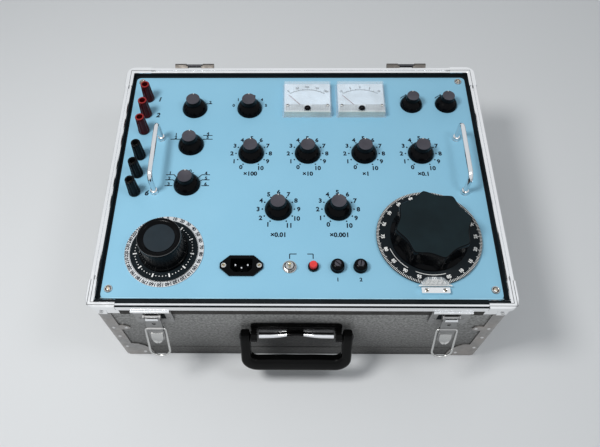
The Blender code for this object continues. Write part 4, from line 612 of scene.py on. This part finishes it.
def make_print():
    build = Build()
    for number, label in enumerate(("×100", "×10", "×1", "×0.1", "×0.01", "×0.001"), 1):
        drop = 30.5 if number < 5 else 34.5
        print_decade(build, f"decade_knob_{number}", 1 if number == 5 else 0, label, drop)
    print_lines(build, "selector_knob_1", [(11, 8.5, 22, 8.5)], [("1", -13, 8.5), ("2", 19.5, 11)])
    print_lines(build, "selector_knob_2",
                [(-27, 9.5, -13.5, 9.5), (-5, 17.3, 5, 17.3), (14, 15.5, 26, 15.5), (15, 9.5, 26.5, 9.5),
                 (15, 9.5, 12, 7)],
                [("1", -20.5, 17), ("2", -20.5, 12.5), ("3", 0, 20.5), ("4", 20, 18.5), ("5", 20, 12.5)])
    print_lines(build, "selector_knob_3",
                [(-27, 14.5, -17, 14.5), (-17, 14.5, -13, 10), (-27, 7, -18, 7), (-18, 7, -15.5, 5),
                 (-27, -1.5, -17.5, -1.5), (-2, 17.3, 7, 17.3), (17, 14.5, 27, 14.5), (17, 14.5, 13, 10),
                 (18, 7, 27, 7), (18, 7, 15.5, 5), (17.5, -1.5, 27, -1.5)],
                [("1", -22, 17), ("2", -22.5, 9.5), ("3", -22.5, 1), ("0", 2.5, 20), ("4", 22, 17),
                 ("5", 22.5, 9.5), ("6", 22.5, 1)])
    print_lines(build, "selector_knob_4", [],
                [(str(step), *polar(22, 165 - 30 * step)) for step in range(6)])
    for number in range(1, 7):
        where = middle(f"terminal_cap_{number}")
        build.write(str(number), where.x + 15, where.y - 1, 6.6, INK_LOW, "ink", slant=0.2)
    for number in (1, 2):
        where = middle(f"trim_knob_{number}")
        build.arc(range(104, 141, 4), 17, INK_LINE, INK_LOW, INK_HIGH, "ink", where.x, where.y)
        print_lines(build, f"trim_knob_{number}", [(-4.1, 16.5, -6.2, 17.8), (-4.1, 16.5, -5.8, 14.6)])
    base = CASE_MIDDLE.y - 122.5
    left, right = middle("toggle_bush").x, middle("push_button").x
    for x0, y0, x1, y1 in ((left, 10.4, left, 16.5), (right, 10.4, right, 16.5),
                           (left, 16.5, left + 7.8, 16.5), (right - 6.5, 16.5, right, 16.5)):
        build.flat_bar((x0, y0 + base), (x1, y1 + base), INK_LINE, INK_LOW, INK_HIGH, "ink")
    for number in (1, 2):
        print_lines(build, f"fuse_cap_{number}", [], [(str(number), 0, -15)])
    build.finish("panel_print", "case")


# The gasket between the panel and the rim
def make_gasket():
    wall, face = 4.3, 5.6
    inside = CASE_HALF.x - PANEL_HALF_X - 0.1
    ledge = PANEL_TOP - 3.1
    section = [(wall, RIM_TOP - 1.1), (wall, ledge), (inside, ledge), (inside, PANEL_TOP - 0.4),
               (inside - 0.4, PANEL_TOP), (face + 0.4, PANEL_TOP), (face, PANEL_TOP + 0.5),
               (face, RIM_TOP - 1.3), (face - 0.2, RIM_TOP - 1.1)]
    build = on_case()
    build.loft([level(rounded(CASE_HALF.x - inset, CASE_HALF.y - inset, 0.8, 3), height)
                for inset, height in section], "rubber", closed=True)
    front, side = -RIM_FRONT, 201
    build.block((-224.6, front, 170), (224.6, front + 2.9, 172), "rubber", 0.3)
    build.block((-side, front - 1.6, 170), (side, front + 0.4, 172), "rubber", 0.3)
    # A dark strip in the front rail's groove: painted shade between the ridge and the bead.
    build.block((-side, front - 5.8, 169.9), (side, front - 3.9, 171.4), "rubber")
    # A dark strip over the rim's skirt: painted shadow under the overhanging bead.
    build.block((-side, -170.84, 144), (side, -170.4, 164.1), "skirt_shadow")
    build.finish("panel_gasket", "case")
    build = on_case()
    build.block((-side, front - 3.9, 169.5), (side, front - 1.6, 171.8), "lip", 0.3)
    build.block((-side, front - 6.1, 161.8), (side, front - 2, 170.4), "lip", 0.6)
    for way_x in (-1, 1):
        for way_y, inset, reach in ((-1, 1.2, 32), (-1, -2, 30), (1, 1.2, 32)):
            x, y = way_x * (CASE_HALF.x - inset), way_y * (CASE_HALF.y - inset)
            build.flat_bar((x, y), (x - way_x * reach, y), 0.5, 171.7, 171.95, "dark_steel")
            build.flat_bar((x, y), (x, y - way_y * reach), 0.5, 171.7, 171.95, "dark_steel")
    build.finish("rim_trim", "case", 35, "rim_metal")
    build = Build((0, CASE_MIDDLE.y, PANEL_TOP))
    # A lighter blue strip along the panel's front edge: painted highlight on the edge.
    build.block((-220.1, -160.6, 0.03), (220.1, -159.9, 0.12), "edge")
    build.finish("panel_edge", "case", 35, "panel_blue")


# Dials
def make_regulator():
    build = on_panel("regulator_ring")
    build.lathe([(4.8, 1.4), (44.8, 1.4), (45.2, 1.1), (45.2, 0.3), (4.8, 0.3)], "ring", 128, closed=True)
    for step in range(150):
        build.tick(90 - 2.4 * step, 38.9, 39.7 if step % 5 else 40.4, 0.6, 1.35, 1.52, "ink")
    for step in range(30):
        build.write(str(10 * step), *polar(42.6, 90 - 12 * step), 3.7, 1.4, "ink", -12 * step)
    build.finish("regulator_ring_dressed", "case", 35, "ring_silver", ("regulator_ring",))
    build = on_panel("regulator_dial_knob")
    build.lathe([(0, -5), (4, -5), (4, 1.8), (38.4, 1.8), (38.6, 2), (38.6, 2.6), (38.4, 2.8), (0, 2.8)],
                "dial", 128)
    build.lathe([(0, 2.8), (27.6, 2.8), (28, 3.2), (28, 6), (27.7, 7), (27, 7.4), (26.8, 8), (24.6, 30),
                 (24.4, 32.5), (24.1, 33.6), (23.4, 34.3), (22.6, 34.5), (20.5, 34.3), (19.6, 33.8),
                 (18.4, 32.2), (17.6, 31.8), (17.4, 31.6), (0, 31.6)], "black", 128)
    # A lighter slate disc on the knob's top: painted reflection of the sky on the black top.
    build.disc(17.2, 31, 31.8, "ring_top_reflection", 96)
    # A lighter ring round the knob's top edge: painted highlight where the edge catches light.
    build.lathe([(24.3, 33.3), (24.2, 33.8), (23.8, 34.2), (23.6, 33.9)], "edge_glint", 128, closed=True)
    for step in range(55):
        inner, outer, width = (32.2, 33.2, 1) if step % 5 else (30.6, 35, 1.5)
        build.tick(188.4 - 360 / 55 * step, inner, outer, width, 2.75, 2.9, "index")
    build.finish("regulator_knob_dressed", "regulator_dial", 30, "knob_black", ("regulator_dial_knob",))


def scallops(out, height, share):
    """A ring of the large knob, with eight narrow lobes and wide hollows between them."""
    radius, flute, phase = 44.5, 5.2, 10.2
    points = []
    for step in range(192):
        degrees = 360 * step / 192
        hollow = math.sqrt(polar(1, 4 * (degrees - phase))[1] ** 2 + 0.02) - 0.14
        reach = radius * out - flute * share * max(hollow, 0) / 0.87
        points.append((*polar(reach, degrees), height))
    return points


def make_slide_dial():
    build = on_panel("slide_dial_disc")
    build.lathe([(4.5, 3.8), (59.5, 3.8), (60.2, 3.4), (60.2, 2.1), (59.9, 1.8), (12, 1.8), (12, 0.3),
                 (4.5, 0.3)], "dial", 180, closed=True)
    for step in range(200):
        inner = 57.3 if step % 5 else 56.2 if step % 10 else 55.3
        build.tick(-90 + 1.8 * step, inner, 60, 0.55, 3.7, 3.92, "index")
    for step in range(20):
        build.write(f"{5 * step:02d}", *polar(52.8, -90 + 18 * step), 3.6, 3.75, "index", 18 * step,
                    thick=0.18)
    for start, end in ((199, 235), (246, 286)):
        build.arc(range(start, end + 1, 2), 48.4, 0.6, 3.75, 3.9, "index")
    build.finish("slide_disc_dressed", "slide_dial", 30, "dial_black", ("slide_dial_disc",))
    build = on_panel("slide_dial_disc")
    grip = [(0.985, 4.1, 0), (1.0, 4.7, 0), (1.0, 6.6, 0), (0.992, 7.6, 0.15), (0.985, 10, 0.7),
            (0.984, 14, 0.95), (0.982, 28, 1), (0.980, 31.8, 1), (0.975, 33.2, 1), (0.960, 33.9, 1)]
    top = [(0.952, 33.6, 1), (0.952, 34, 1), (0.80, 34, 0.8), (0.60, 34, 0.4), (0.30, 34, 0)]
    # The knob's top is a lighter slate copy of its black: painted reflection of the sky on the top.
    for low, rows, high, kind in ((4.1, grip, 33.5, "black"), (33.4, top, 34, "slide_top_reflection")):
        build.loft([[(0, 0, low)]] + [scallops(*row) for row in rows] + [[(0, 0, high)]], kind)
    build.finish("slide_knob_dressed", "slide_dial", 30, "knob_black", ("slide_dial_knob",))


def make_vernier():
    node = "vernier_bracket"
    build = on_panel(node)
    for way in (-1, 1):
        put = shift(way * 10, -0.4, 0)
        build.lathe([(1.4, 5.4), (1.9, 5.7), (2.4, 5.4), (2.5, 4.9), (1.4, 4.9)], "nickel", 24,
                    closed=True, put=put)
        build.disc(1.4, 4.9, 5.3, "dark_steel", 24, put)
        build.bar(1.7, 0.3, 5.2, 5.45, "brass", put @ spin(80))
    build.finish("vernier_screws", "case", 35, "vernier_metal")
    build = on_panel(node)
    half = [(18.5, 4.6), (16.5, 7.2), (10.5, 14), (7.5, 15.2)]
    build.prism(half + [(-x, y) for x, y in reversed(half)], 4.3, 5.6, "clear", 0.2)
    build.finish("vernier_plate", "case", 35, "meter_clear")
    build = on_panel(node)
    for step in range(-12, 13):
        x = step * 1.4
        reach = 14.8 if abs(x) < 8 else 14.8 - (abs(x) - 8) * 0.98
        build.flat_bar((x, 5.6), (x, reach - (2.2 if step % 5 else 0.0)), 0.6, 5.62, 5.72, "index")
    build.block((-18.3, 4.4, 4.3), (18.3, 5.1, 5.8), "index")
    build.finish("vernier_marks", "case", 35, "vernier_metal")


# Terminals and bow handles
def make_terminals():
    for number in range(1, 7):
        node = f"terminal_cap_{number}"
        colour = "red" if number <= 3 else "black"
        build = on_panel(node)
        build.lathe([(0, 21.5), (2.1, 21.5), (2.6, 22.5), (3.2, 27.2), (3.6, 27.9), (4.8, 28), (5.55, 27.7),
                     (5.8, 27, 0.1), (6.1, 23.5, 0.7), (6.6, 14, 0.9), (7, 6, 0.9), (7.2, 4, 0.4),
                     (7.25, 3.2), (7.25, 0.6), (7, 0.3), (2.5, 0.3), (2.5, 15), (0, 15)],
                    colour + "_post", 96, 10)
        if colour == "red":
            # A lighter red ring round the post's top: painted highlight on its top edge.
            build.lathe([(3.7, 28.1), (4.7, 28.15), (5.4, 27.9), (5.4, 27.6), (3.7, 27.6)], "red_top_glint",
                        closed=True)
        build.lathe([(0, 21.9), (1.6, 21.9), (2, 21.7), (2, 21), (0, 21)], "brass", 32)
        build.finish(node + "_dressed", f"terminal_{number}", 40, "terminal_" + colour, (node,))


def make_bow(side):
    node = f"bow_handle_{side}"
    low, high = box(node)
    half = (high.y - low.y) / 2 - 4.8
    top, bend = 32, 9
    path = [(0, half, 0.3), (0, half, 12)]
    path += [(0, *polar(bend, 11.25 * step, half - bend, top - bend)) for step in range(9)]
    path += [(0, -y, z) for x, y, z in reversed(path)]
    build = on_panel(node)
    build.tube(path, 3, "chrome", 24)
    for way in (-1, 1):
        build.lathe([(3, 4.8), (4, 4.6), (4.6, 3.8), (4.8, 2.6), (4.8, 0.8), (5.2, 0.3), (3, 0.3)],
                    "chrome", 40, closed=True, put=shift(0, way * half, 0))
    build.finish(node + "_dressed", "case", 40, "bow_chrome", (node,))


# Meters
def make_meter(number):
    body, pivot = f"meter_body_{number}", f"zero_screw_{number}"
    drop = middle(pivot).y - middle(body).y
    build = on_panel(body)
    build.prism(rounded(30, 25.8, 0.8, 3), 0.3, 4.8, "card")
    build.disc(19, -30, 0.4, "black", 48)
    low, high, radius = 4.75, 4.87, 42
    heart = drop - 5.4
    turns = [122 - 1.6 * step for step in range(41)]
    for step, degrees in enumerate(turns):
        reach = 1.5 if step % 5 else 2.2 if step % 10 else 3
        build.tick(degrees, radius, radius + reach, 0.45 if step % 5 else 0.6, low, high, "ink", heart)
    build.arc(turns, radius, 0.5, low, high, "ink", y=heart)
    words = ("0", "50", "100", "150", "200") if number == 1 else ("10", "5", "0", "5", "10")
    for step, word in enumerate(words):
        build.write(word, *polar(47.1, 122 - 16 * step, 0, heart), 3, low, "ink", 32 - 16 * step)
    build.finish(f"meter_card_{number}", "case", 35, "meter_dial", (body,))
    make_meter_band(number, drop)
    build = on_panel(pivot, spin(42))
    build.prism([(0.7, -5), (0.5, 12), (0.3, 36.5), (-0.3, 36.5), (-0.5, 12), (-0.7, -5)], 5.9, 6.3, "needle")
    build.lathe([(0, 7.2), (1.8, 7.1), (2.2, 6.7), (2.2, 5), (0, 5)], "black", 32)
    node = f"meter_needle_{number}"
    build.finish(node + "_dressed", f"needle_{number}", 35, "needle_black", (node,))
    build = on_panel(pivot)
    build.lathe([(0, 12.5), (1.2, 12.5), (2.8, 13), (3.6, 12.8), (3.9, 12.3), (3.9, 9.7), (4.6, 9.7),
                 (4.6, 8.7), (0, 8.7)], "black", 40)
    build.bar(2.4, 0.35, 12.4, 12.8, "dark_steel", spin(30))
    build.finish(pivot + "_dressed", f"zero_{number}", 35, "screw_black", (pivot,))


def make_meter_band(number, drop):
    """The ribbed strip under the clear cover, and the moulding along the cover's front."""
    build = on_panel(f"meter_body_{number}")
    low, high, hole, reach = -24.9, drop + 7.2, 5, 28.8
    top, under = 9.9, 9
    for x0, x1, y0, y1 in ((-reach, -hole, low, high), (hole, reach, low, high),
                           (-hole, hole, low, drop - hole), (-hole, hole, drop + hole, high)):
        build.block((x0, y0, under), (x1, y1, top), "band")
    for step in range(-13, 14):
        if abs(step) > 2:
            at = step * 2.1
            build.block((at - 0.3, low + 0.6, top - 0.1), (at + 0.3, high - 0.4, top + 0.2), "line")
    for step in range(5):
        at = low + 2.2 + 2.1 * step
        for x0, x1 in ((-28.2, -hole - 0.4), (hole + 0.4, 28.2)):
            build.block((x0, at - 0.25, top - 0.1), (x1, at + 0.25, top + 0.18), "line")
    # The moulding's front is a darker, greener copy of the band: partly its own tint, partly painted shade on
    # the front face.
    build.block((-29.8, -26.35, 0.4), (29.8, -25, top), "front")
    build.block((-9, -24.8, 9.85), (9, drop - 5.2, 10.05), "front")
    for way in (-1, 1):
        put = shift(way * 25.8, drop + 4.8, 0)
        build.lathe([(0, 12.6), (1.2, 12.6), (1.7, 12.2), (1.7, 11), (0, 11)], "screw", 20, put=put)
        build.bar(1.4, 0.4, 12.4, 12.7, "ink", put @ spin(30))
    build.finish(f"meter_band_{number}", "case", 35, "meter_dial")


# Inlet, toggle and fuses
def make_service():
    build = on_panel("mains_inlet")
    for way in (-1, 1):
        put = shift(way * 20, 0, 0)
        build.lathe([(1.8, 3.7), (2.3, 3.7), (3, 3.2), (3, 2.7), (1.8, 2.7)], "screw", 32, closed=True,
                    put=put)
        build.disc(1.8, 2.8, 3.5, "brass", 24, put)
        build.bar(1.8, 0.4, 3.4, 3.6, "dark_steel", put @ spin(25 * way))
    for x, y in ((-7, 2.2), (0, -1.4), (7, 2.2)):
        build.block((x - 1, y - 1.1, -9), (x + 1, y + 1.1, -0.8), "lip", 0.3)
    build.finish("inlet_screws", "case", 35, "inlet_black")
    node = "toggle_bush"
    build = on_panel(node)
    build.lathe([(4.6, 1.4), (7.7, 1.4), (7.9, 1.2), (7.9, 0.3), (4.6, 0.3)], "nickel", 48, closed=True)
    build.lathe([(2.6, 6.2), (4, 6.2), (4.5, 5.8), (4.5, 5), (4.2, 4.8), (4.5, 4.6), (4.5, -3), (2.6, -3)],
                "screw", 40, closed=True)
    build.prism([polar(6.3, 60 * k + 15) for k in range(6)], 1.4, 4.3, "screw", 0.4)
    # Dark rings round the bush on the nut and round the nut on the washer: painted shade in the gaps.
    for inner, outer, low, high, count in ((4.6, 5.6, 4.2, 4.4, 32), (6.4, 7, 1.3, 1.6, 40)):
        build.lathe([(inner, high), (outer, high), (outer, low), (inner, low)], "dark_steel", count,
                    closed=True)
    build.finish(node + "_dressed", "case", 35, "toggle_metal", (node,))
    build = on_panel(node, shift(0, 0, 3) @ spin(12, "X"))
    build.lathe([(0, -1), (1.1, -1), (1.2, 3), (1.4, 7), (1.8, 9), (2.2, 10.2), (2.3, 11), (2, 11.9),
                 (1.3, 12.4), (0, 12.5)], "brass", 32)
    build.finish("toggle_lever_dressed", "toggle", 40, "toggle_metal", ("toggle_lever",))
    for number in (1, 2):
        node = f"fuse_cap_{number}"
        build = on_panel(node)
        build.lathe([(0, 11), (2.2, 10.9), (4, 10.5), (5.6, 9.8), (6.6, 8.9), (7.2, 7.8), (7.4, 7.4),
                     (7.6, 6.6, 0.4), (7.8, 3, 0.4), (8, 2.4), (8, 0.8), (7.8, 0.3), (5, 0.3), (5, -12),
                     (0, -12)], "black", 120, 24)
        # A grey disc on the black top: painted reflection on the fuse cap's top.
        build.lathe([(0, 11.2), (3, 11.1), (3.6, 10.9), (3.6, 10.4), (0, 10.4)], "cap", 48)
        build.bar(3.2, 0.5, 10.8, 11.35, "black", spin(20 - 60 * number))
        build.finish(node + "_dressed", f"fuse_{number}", 40, "inlet_black", (node,))


def make_panel_screws():
    for number, (x, y) in enumerate(((-212.5, 153.3), (211.5, 153.6), (-212.7, -149.5), (212.7, -149.8)), 1):
        build = Build((x, CASE_MIDDLE.y + y, PANEL_TOP))
        build.lathe([(3.2, 0.6), (3.6, 1.4), (4.2, 1.4), (4.8, 0.6), (4.9, 0.03), (2.8, 0.03)], "nickel", 40,
                    closed=True)
        build.disc(3.2, 0.03, 0.4, "dark_steel", 32)
        build.lathe([(0, 1.2), (1.4, 1.1), (2.2, 0.7), (2.2, 0.3), (0, 0.3)], "screw", 32)
        build.bar(2.1, 0.6, 0.6, 1.3, "worn_slot", spin(35 * number))
        build.finish(f"panel_screw_{number}", "case", 35, "rim_metal")


# Latches, handle and trim of the case
def make_latch(side):
    """Dark and bright details on a latch's plate, its dark inlays being painted shade, the bar and tongue of
    its lever, and its bail.
    """
    plate_low, plate_high = box(f"latch_plate_{side}")
    x = (plate_low.x + plate_high.x) / 2
    pivot = LATCH_PIVOT
    back = plate_high.y
    low, high = pivot.z + 0.9, pivot.z + 7.7
    build = Build((x, 0, 0))
    # A dark inlay above the lever: painted shade in the gap between the ledge and the lever.
    build.block((-7.1, back - 0.4, low), (7.1, back - 0.1, high), "rubber")
    for way in (-1, 1):
        near, far = sorted((way * 7.2, way * 8))
        build.block((near, back - 3, low - 1), (far, back - 1.2, high + 0.8), "nickel")
        build.lathe([(0, 1), (1.4, 0.8), (2, 0), (0, 0)], "latch", 20,
                    put=shift(way * 16.5, back - 1.2, pivot.z - 13) @ spin(90, "X"))
    # A dark inlay beside the lever, on the side towards the middle of the case: painted shadow under the
    # tapering lever.
    near, far = (8.2, 13.6) if side == "left" else (-13.6, -8.2)
    build.block((near, back - 1.6, pivot.z - 12.5), (far, back - 1.1, pivot.z + 1), "rubber")
    reach = (plate_high.x - plate_low.x) / 2
    build.block((-reach, back - 1.2, plate_high.z - 1), (reach, back - 0.2, 163.4), "latch")
    build.block((-reach, back - 4.6, 157.8), (reach, back - 0.4, 161.2), "rim", 0.3)
    build.finish(f"latch_window_{side}", "case", 35, "latch_metal")
    build = Build((x, pivot.y, pivot.z), spin(-13, "X"))
    build.block((-7, -4.4, -3), (7, -0.8, 0.6), "lip", 0.4)
    across = (-1, -0.6, -0.2, 0.2, 0.6, 1)
    outline = [(u, 0) for u in across] + [(u, 0.6) for u in reversed(across)]
    rows = []
    for step in range(9):
        share = step / 8
        reach = 6.8 if share < 0.35 else 6.8 * math.sqrt(max(0.02, 1 - ((share - 0.35) / 0.67) ** 2))
        out = -0.85 - 3.6 * share ** 1.6
        rows.append([(reach * u, out + 0.6 * (1 - u * u) - v, -33 - 14.5 * share) for u, v in outline])
    build.loft(rows, "nickel")
    build.finish(f"latch_tip_{side}", f"latch_{side}", 40, "latch_metal")
    half, low, bend, shoulder, end = 11.5, -48.75, 10.5, 2.5, 7.4
    path = [(end, 0), (half - shoulder, 0)]
    path += [polar(shoulder, 90 - 22.5 * k, half - shoulder, -shoulder) for k in range(1, 5)]
    path += [polar(bend, -7.5 * k, half - bend, low + bend) for k in range(13)]
    path += [(-u, v) for u, v in reversed(path)]
    down, out = polar(24, 13)
    build = Build((x, pivot.y - out, pivot.z - down), spin(-20, "X"))
    build.tube([(u, 0, v) for u, v in path], 1.25, "nickel", 14)
    build.finish(f"latch_bail_{side}_dressed", f"bail_{side}", 50, "latch_metal", (f"latch_bail_{side}",))


def make_handle():
    """A moulded handle with round edges, swept from its left arm to its right one."""
    base = middle("handle_base")
    inside, outside, low, grip = 54, 66.5, -55.2, 19
    head, corner, inner, thick, count = 7, 20, 8, 6.5, 28
    floor = low + grip
    pairs = [((-inside, head - 5 * k), (-outside, head - 22 * k / 6)) for k in range(7)]
    for k in range(13):
        pairs.append((polar(inner, 180 + 7.5 * k, -inside + inner, floor + inner),
                      polar(corner, 180 + 7.5 * k, -outside + corner, low + corner)))
    arm = [((-u0, w0), (-u1, w1)) for (u0, w0), (u1, w1) in reversed(pairs)]
    for k in range(1, 24):
        share = k / 24
        u_in = (-inside + inner) + 2 * (inside - inner) * share
        u_out = (-outside + corner) + 2 * (outside - corner) * share
        wave = 0.6 * (1 - polar(1, 360 * share)[0]) - polar(1, 180 * share)[1] ** 8
        pairs.append(((u_in, floor + wave), (u_out, low)))
    pairs += arm
    loops = []
    for at, ((u0, w0), (u1, w1)) in enumerate(pairs):
        size = 0.86 if at in (0, len(pairs) - 1) else 1.0
        loop = []
        for k in range(count):
            across, through = [math.copysign(abs(part) ** 0.5, part) * size
                               for part in polar(1, 360 * k / count)]
            loop.append(((u0 + u1) / 2 + (u1 - u0) / 2 * across, thick * through,
                         (w0 + w1) / 2 + (w1 - w0) / 2 * across))
        loops.append(loop)
    tips = []
    for loop in (loops[0], loops[-1]):
        centre = sum(point[0] for point in loop) / count
        tips.append([(u + (centre - u) * 0.25, v * 0.75, w + 0.4) for u, v, w in loop])
    build = Build((base.x, HANDLE_PIVOT.y, HANDLE_PIVOT.z), spin(-23, "X"))
    build.loft([tips[0]] + loops + [tips[1]], "handle")
    for way in (-1, 1):
        build.lathe([(0, 1), (2.6, 0.8), (3.4, 0.2), (3.4, -0.6), (0, -0.6)], "dark_steel", 28,
                    put=shift(way * outside, 0, 0) @ spin(90 * way, "Y"))
    build.finish("carry_handle_dressed", "handle", 50, "handle_black", ("carry_handle",))


def make_handle_lip():
    """The rolled lower edge of the handle's base, higher in its middle. Its bright metal ends are painted
    highlights on the glossy black lip.
    """
    low, high = box("handle_base")
    build = Build(((low.x + high.x) / 2, high.y - 2, low.z))
    path, sizes = [], []
    for step in range(33):
        away = step / 32 - 0.5
        path.append((89 * away, -3, 0.8 + 5.2 * math.exp(-(away / 0.20) ** 2)))
        sizes.append(1.0 - 0.45 * math.exp(-(away / 0.22) ** 2))
    # Bright metal at the ends, black in the middle: painted highlights where the lamps catch the lip's
    # slopes.
    for first, last, kind in ((0, 13, "lip"), (12, 20, "handle"), (19, 33, "lip")):
        build.tube(path[first:last], 3.4, kind, 20, sizes[first:last])
    build.block((-45.5, -1.2, 0.2), (45.5, 0.2, 24), "handle", 0.5)
    build.finish("handle_base_lip", "case", 45, "handle_black")


def make_trim():
    """The strip round the foot of the case, rivets on the guards and pins in the hinges."""
    build = on_case()
    section = [(-0.1, 1), (0.5, 1.4), (0.5, 28.1), (-0.1, 28.5)]
    build.loft([level(rounded(CASE_HALF.x + out, CASE_HALF.y + out, 6, 6), height)
                for out, height in section], "foot", closed=True)
    build.finish("foot_strip", "case", 35, "case_covering")
    build = on_case()
    dome = [(0, 1.2), (1.2, 1), (2, 0.4), (2.2, 0), (0, 0)]
    for way in (-1, 1):
        for x, z, out in ((220.5, 152, 1.6), (220, 100, 0), (205, 100, 0), (220, 32, 0), (201, 12, 0),
                          (220, 70, 0)):
            face = CASE_HALF.y + 1.4 + out
            build.lathe(dome, "casting", 20, put=shift(way * x, -face, z) @ spin(90, "X"))
            build.lathe(dome, "casting", 20, put=shift(way * x, face, z) @ spin(-90, "X"))
    build.finish("guard_rivets", "case", 35, "guard_metal")
    for name in sorted(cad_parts):
        if name.startswith("hinge_leaf"):
            low, high = box(name)
            build = Build(((low.x + high.x) / 2, high.y - 2.6, high.z - 2))
            reach = (high.x - low.x) / 2
            for start, end, radius, kind in ((-1.0, -0.42, 3, "dull"), (-0.42, 0.42, 2.2, "dark_steel"),
                                             (0.42, 1.0, 3, "dull")):
                first, last = reach * start, reach * end
                build.lathe([(0, first), (radius, first + 0.1), (radius, last - 0.1), (0, last)], kind, 24,
                            put=spin(90, "Y"))
            build.finish(f"{name}_pin", "case", 35, "hinge_metal")


NODE_SHADES = {
    "case_tub": "covering", "rim_frame": "rim", "corner_guard": "guard", "hinge_leaf": "dull",
    "latch_plate": "latch", "latch_lever": "latch", "latch_bail": "nickel", "handle_base": "handle",
    "carry_handle": "handle", "panel": "panel", "vernier_bracket": "rim", "mains_inlet": "black",
    "button_bezel": "black", "push_button": "button", "toggle_lever": "nickel", "sub_board": "board",
    "ratio_transformer": "winding", "regulator_core": "winding", "meter_needle": "needle",
    "meter_cover": "clear",
}


def dress_nodes():
    """Gives each carried-over node its material."""
    for name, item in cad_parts.items():
        for start, kind in NODE_SHADES.items():
            if name.startswith(start):
                item.data.materials.clear()
                item.data.materials.append(KINDS[kind])


make_stage()
dress_nodes()
make_gasket()
make_print()
for count in range(1, 5):
    make_small_knob(f"selector_knob_{count}", f"selector_{count}")
for count in range(1, 7):
    make_small_knob(f"decade_knob_{count}", f"decade_{count}")
for count in (1, 2):
    make_small_knob(f"trim_knob_{count}", f"trimmer_{count}", (14.1 / 15.8, 18.5 / 20.2))
make_regulator()
make_slide_dial()
make_vernier()
make_terminals()
make_bow("left")
make_bow("right")
make_meter(1)
make_meter(2)
make_service()
make_panel_screws()
make_latch("left")
make_latch("right")
make_handle()
make_handle_lip()
make_trim()
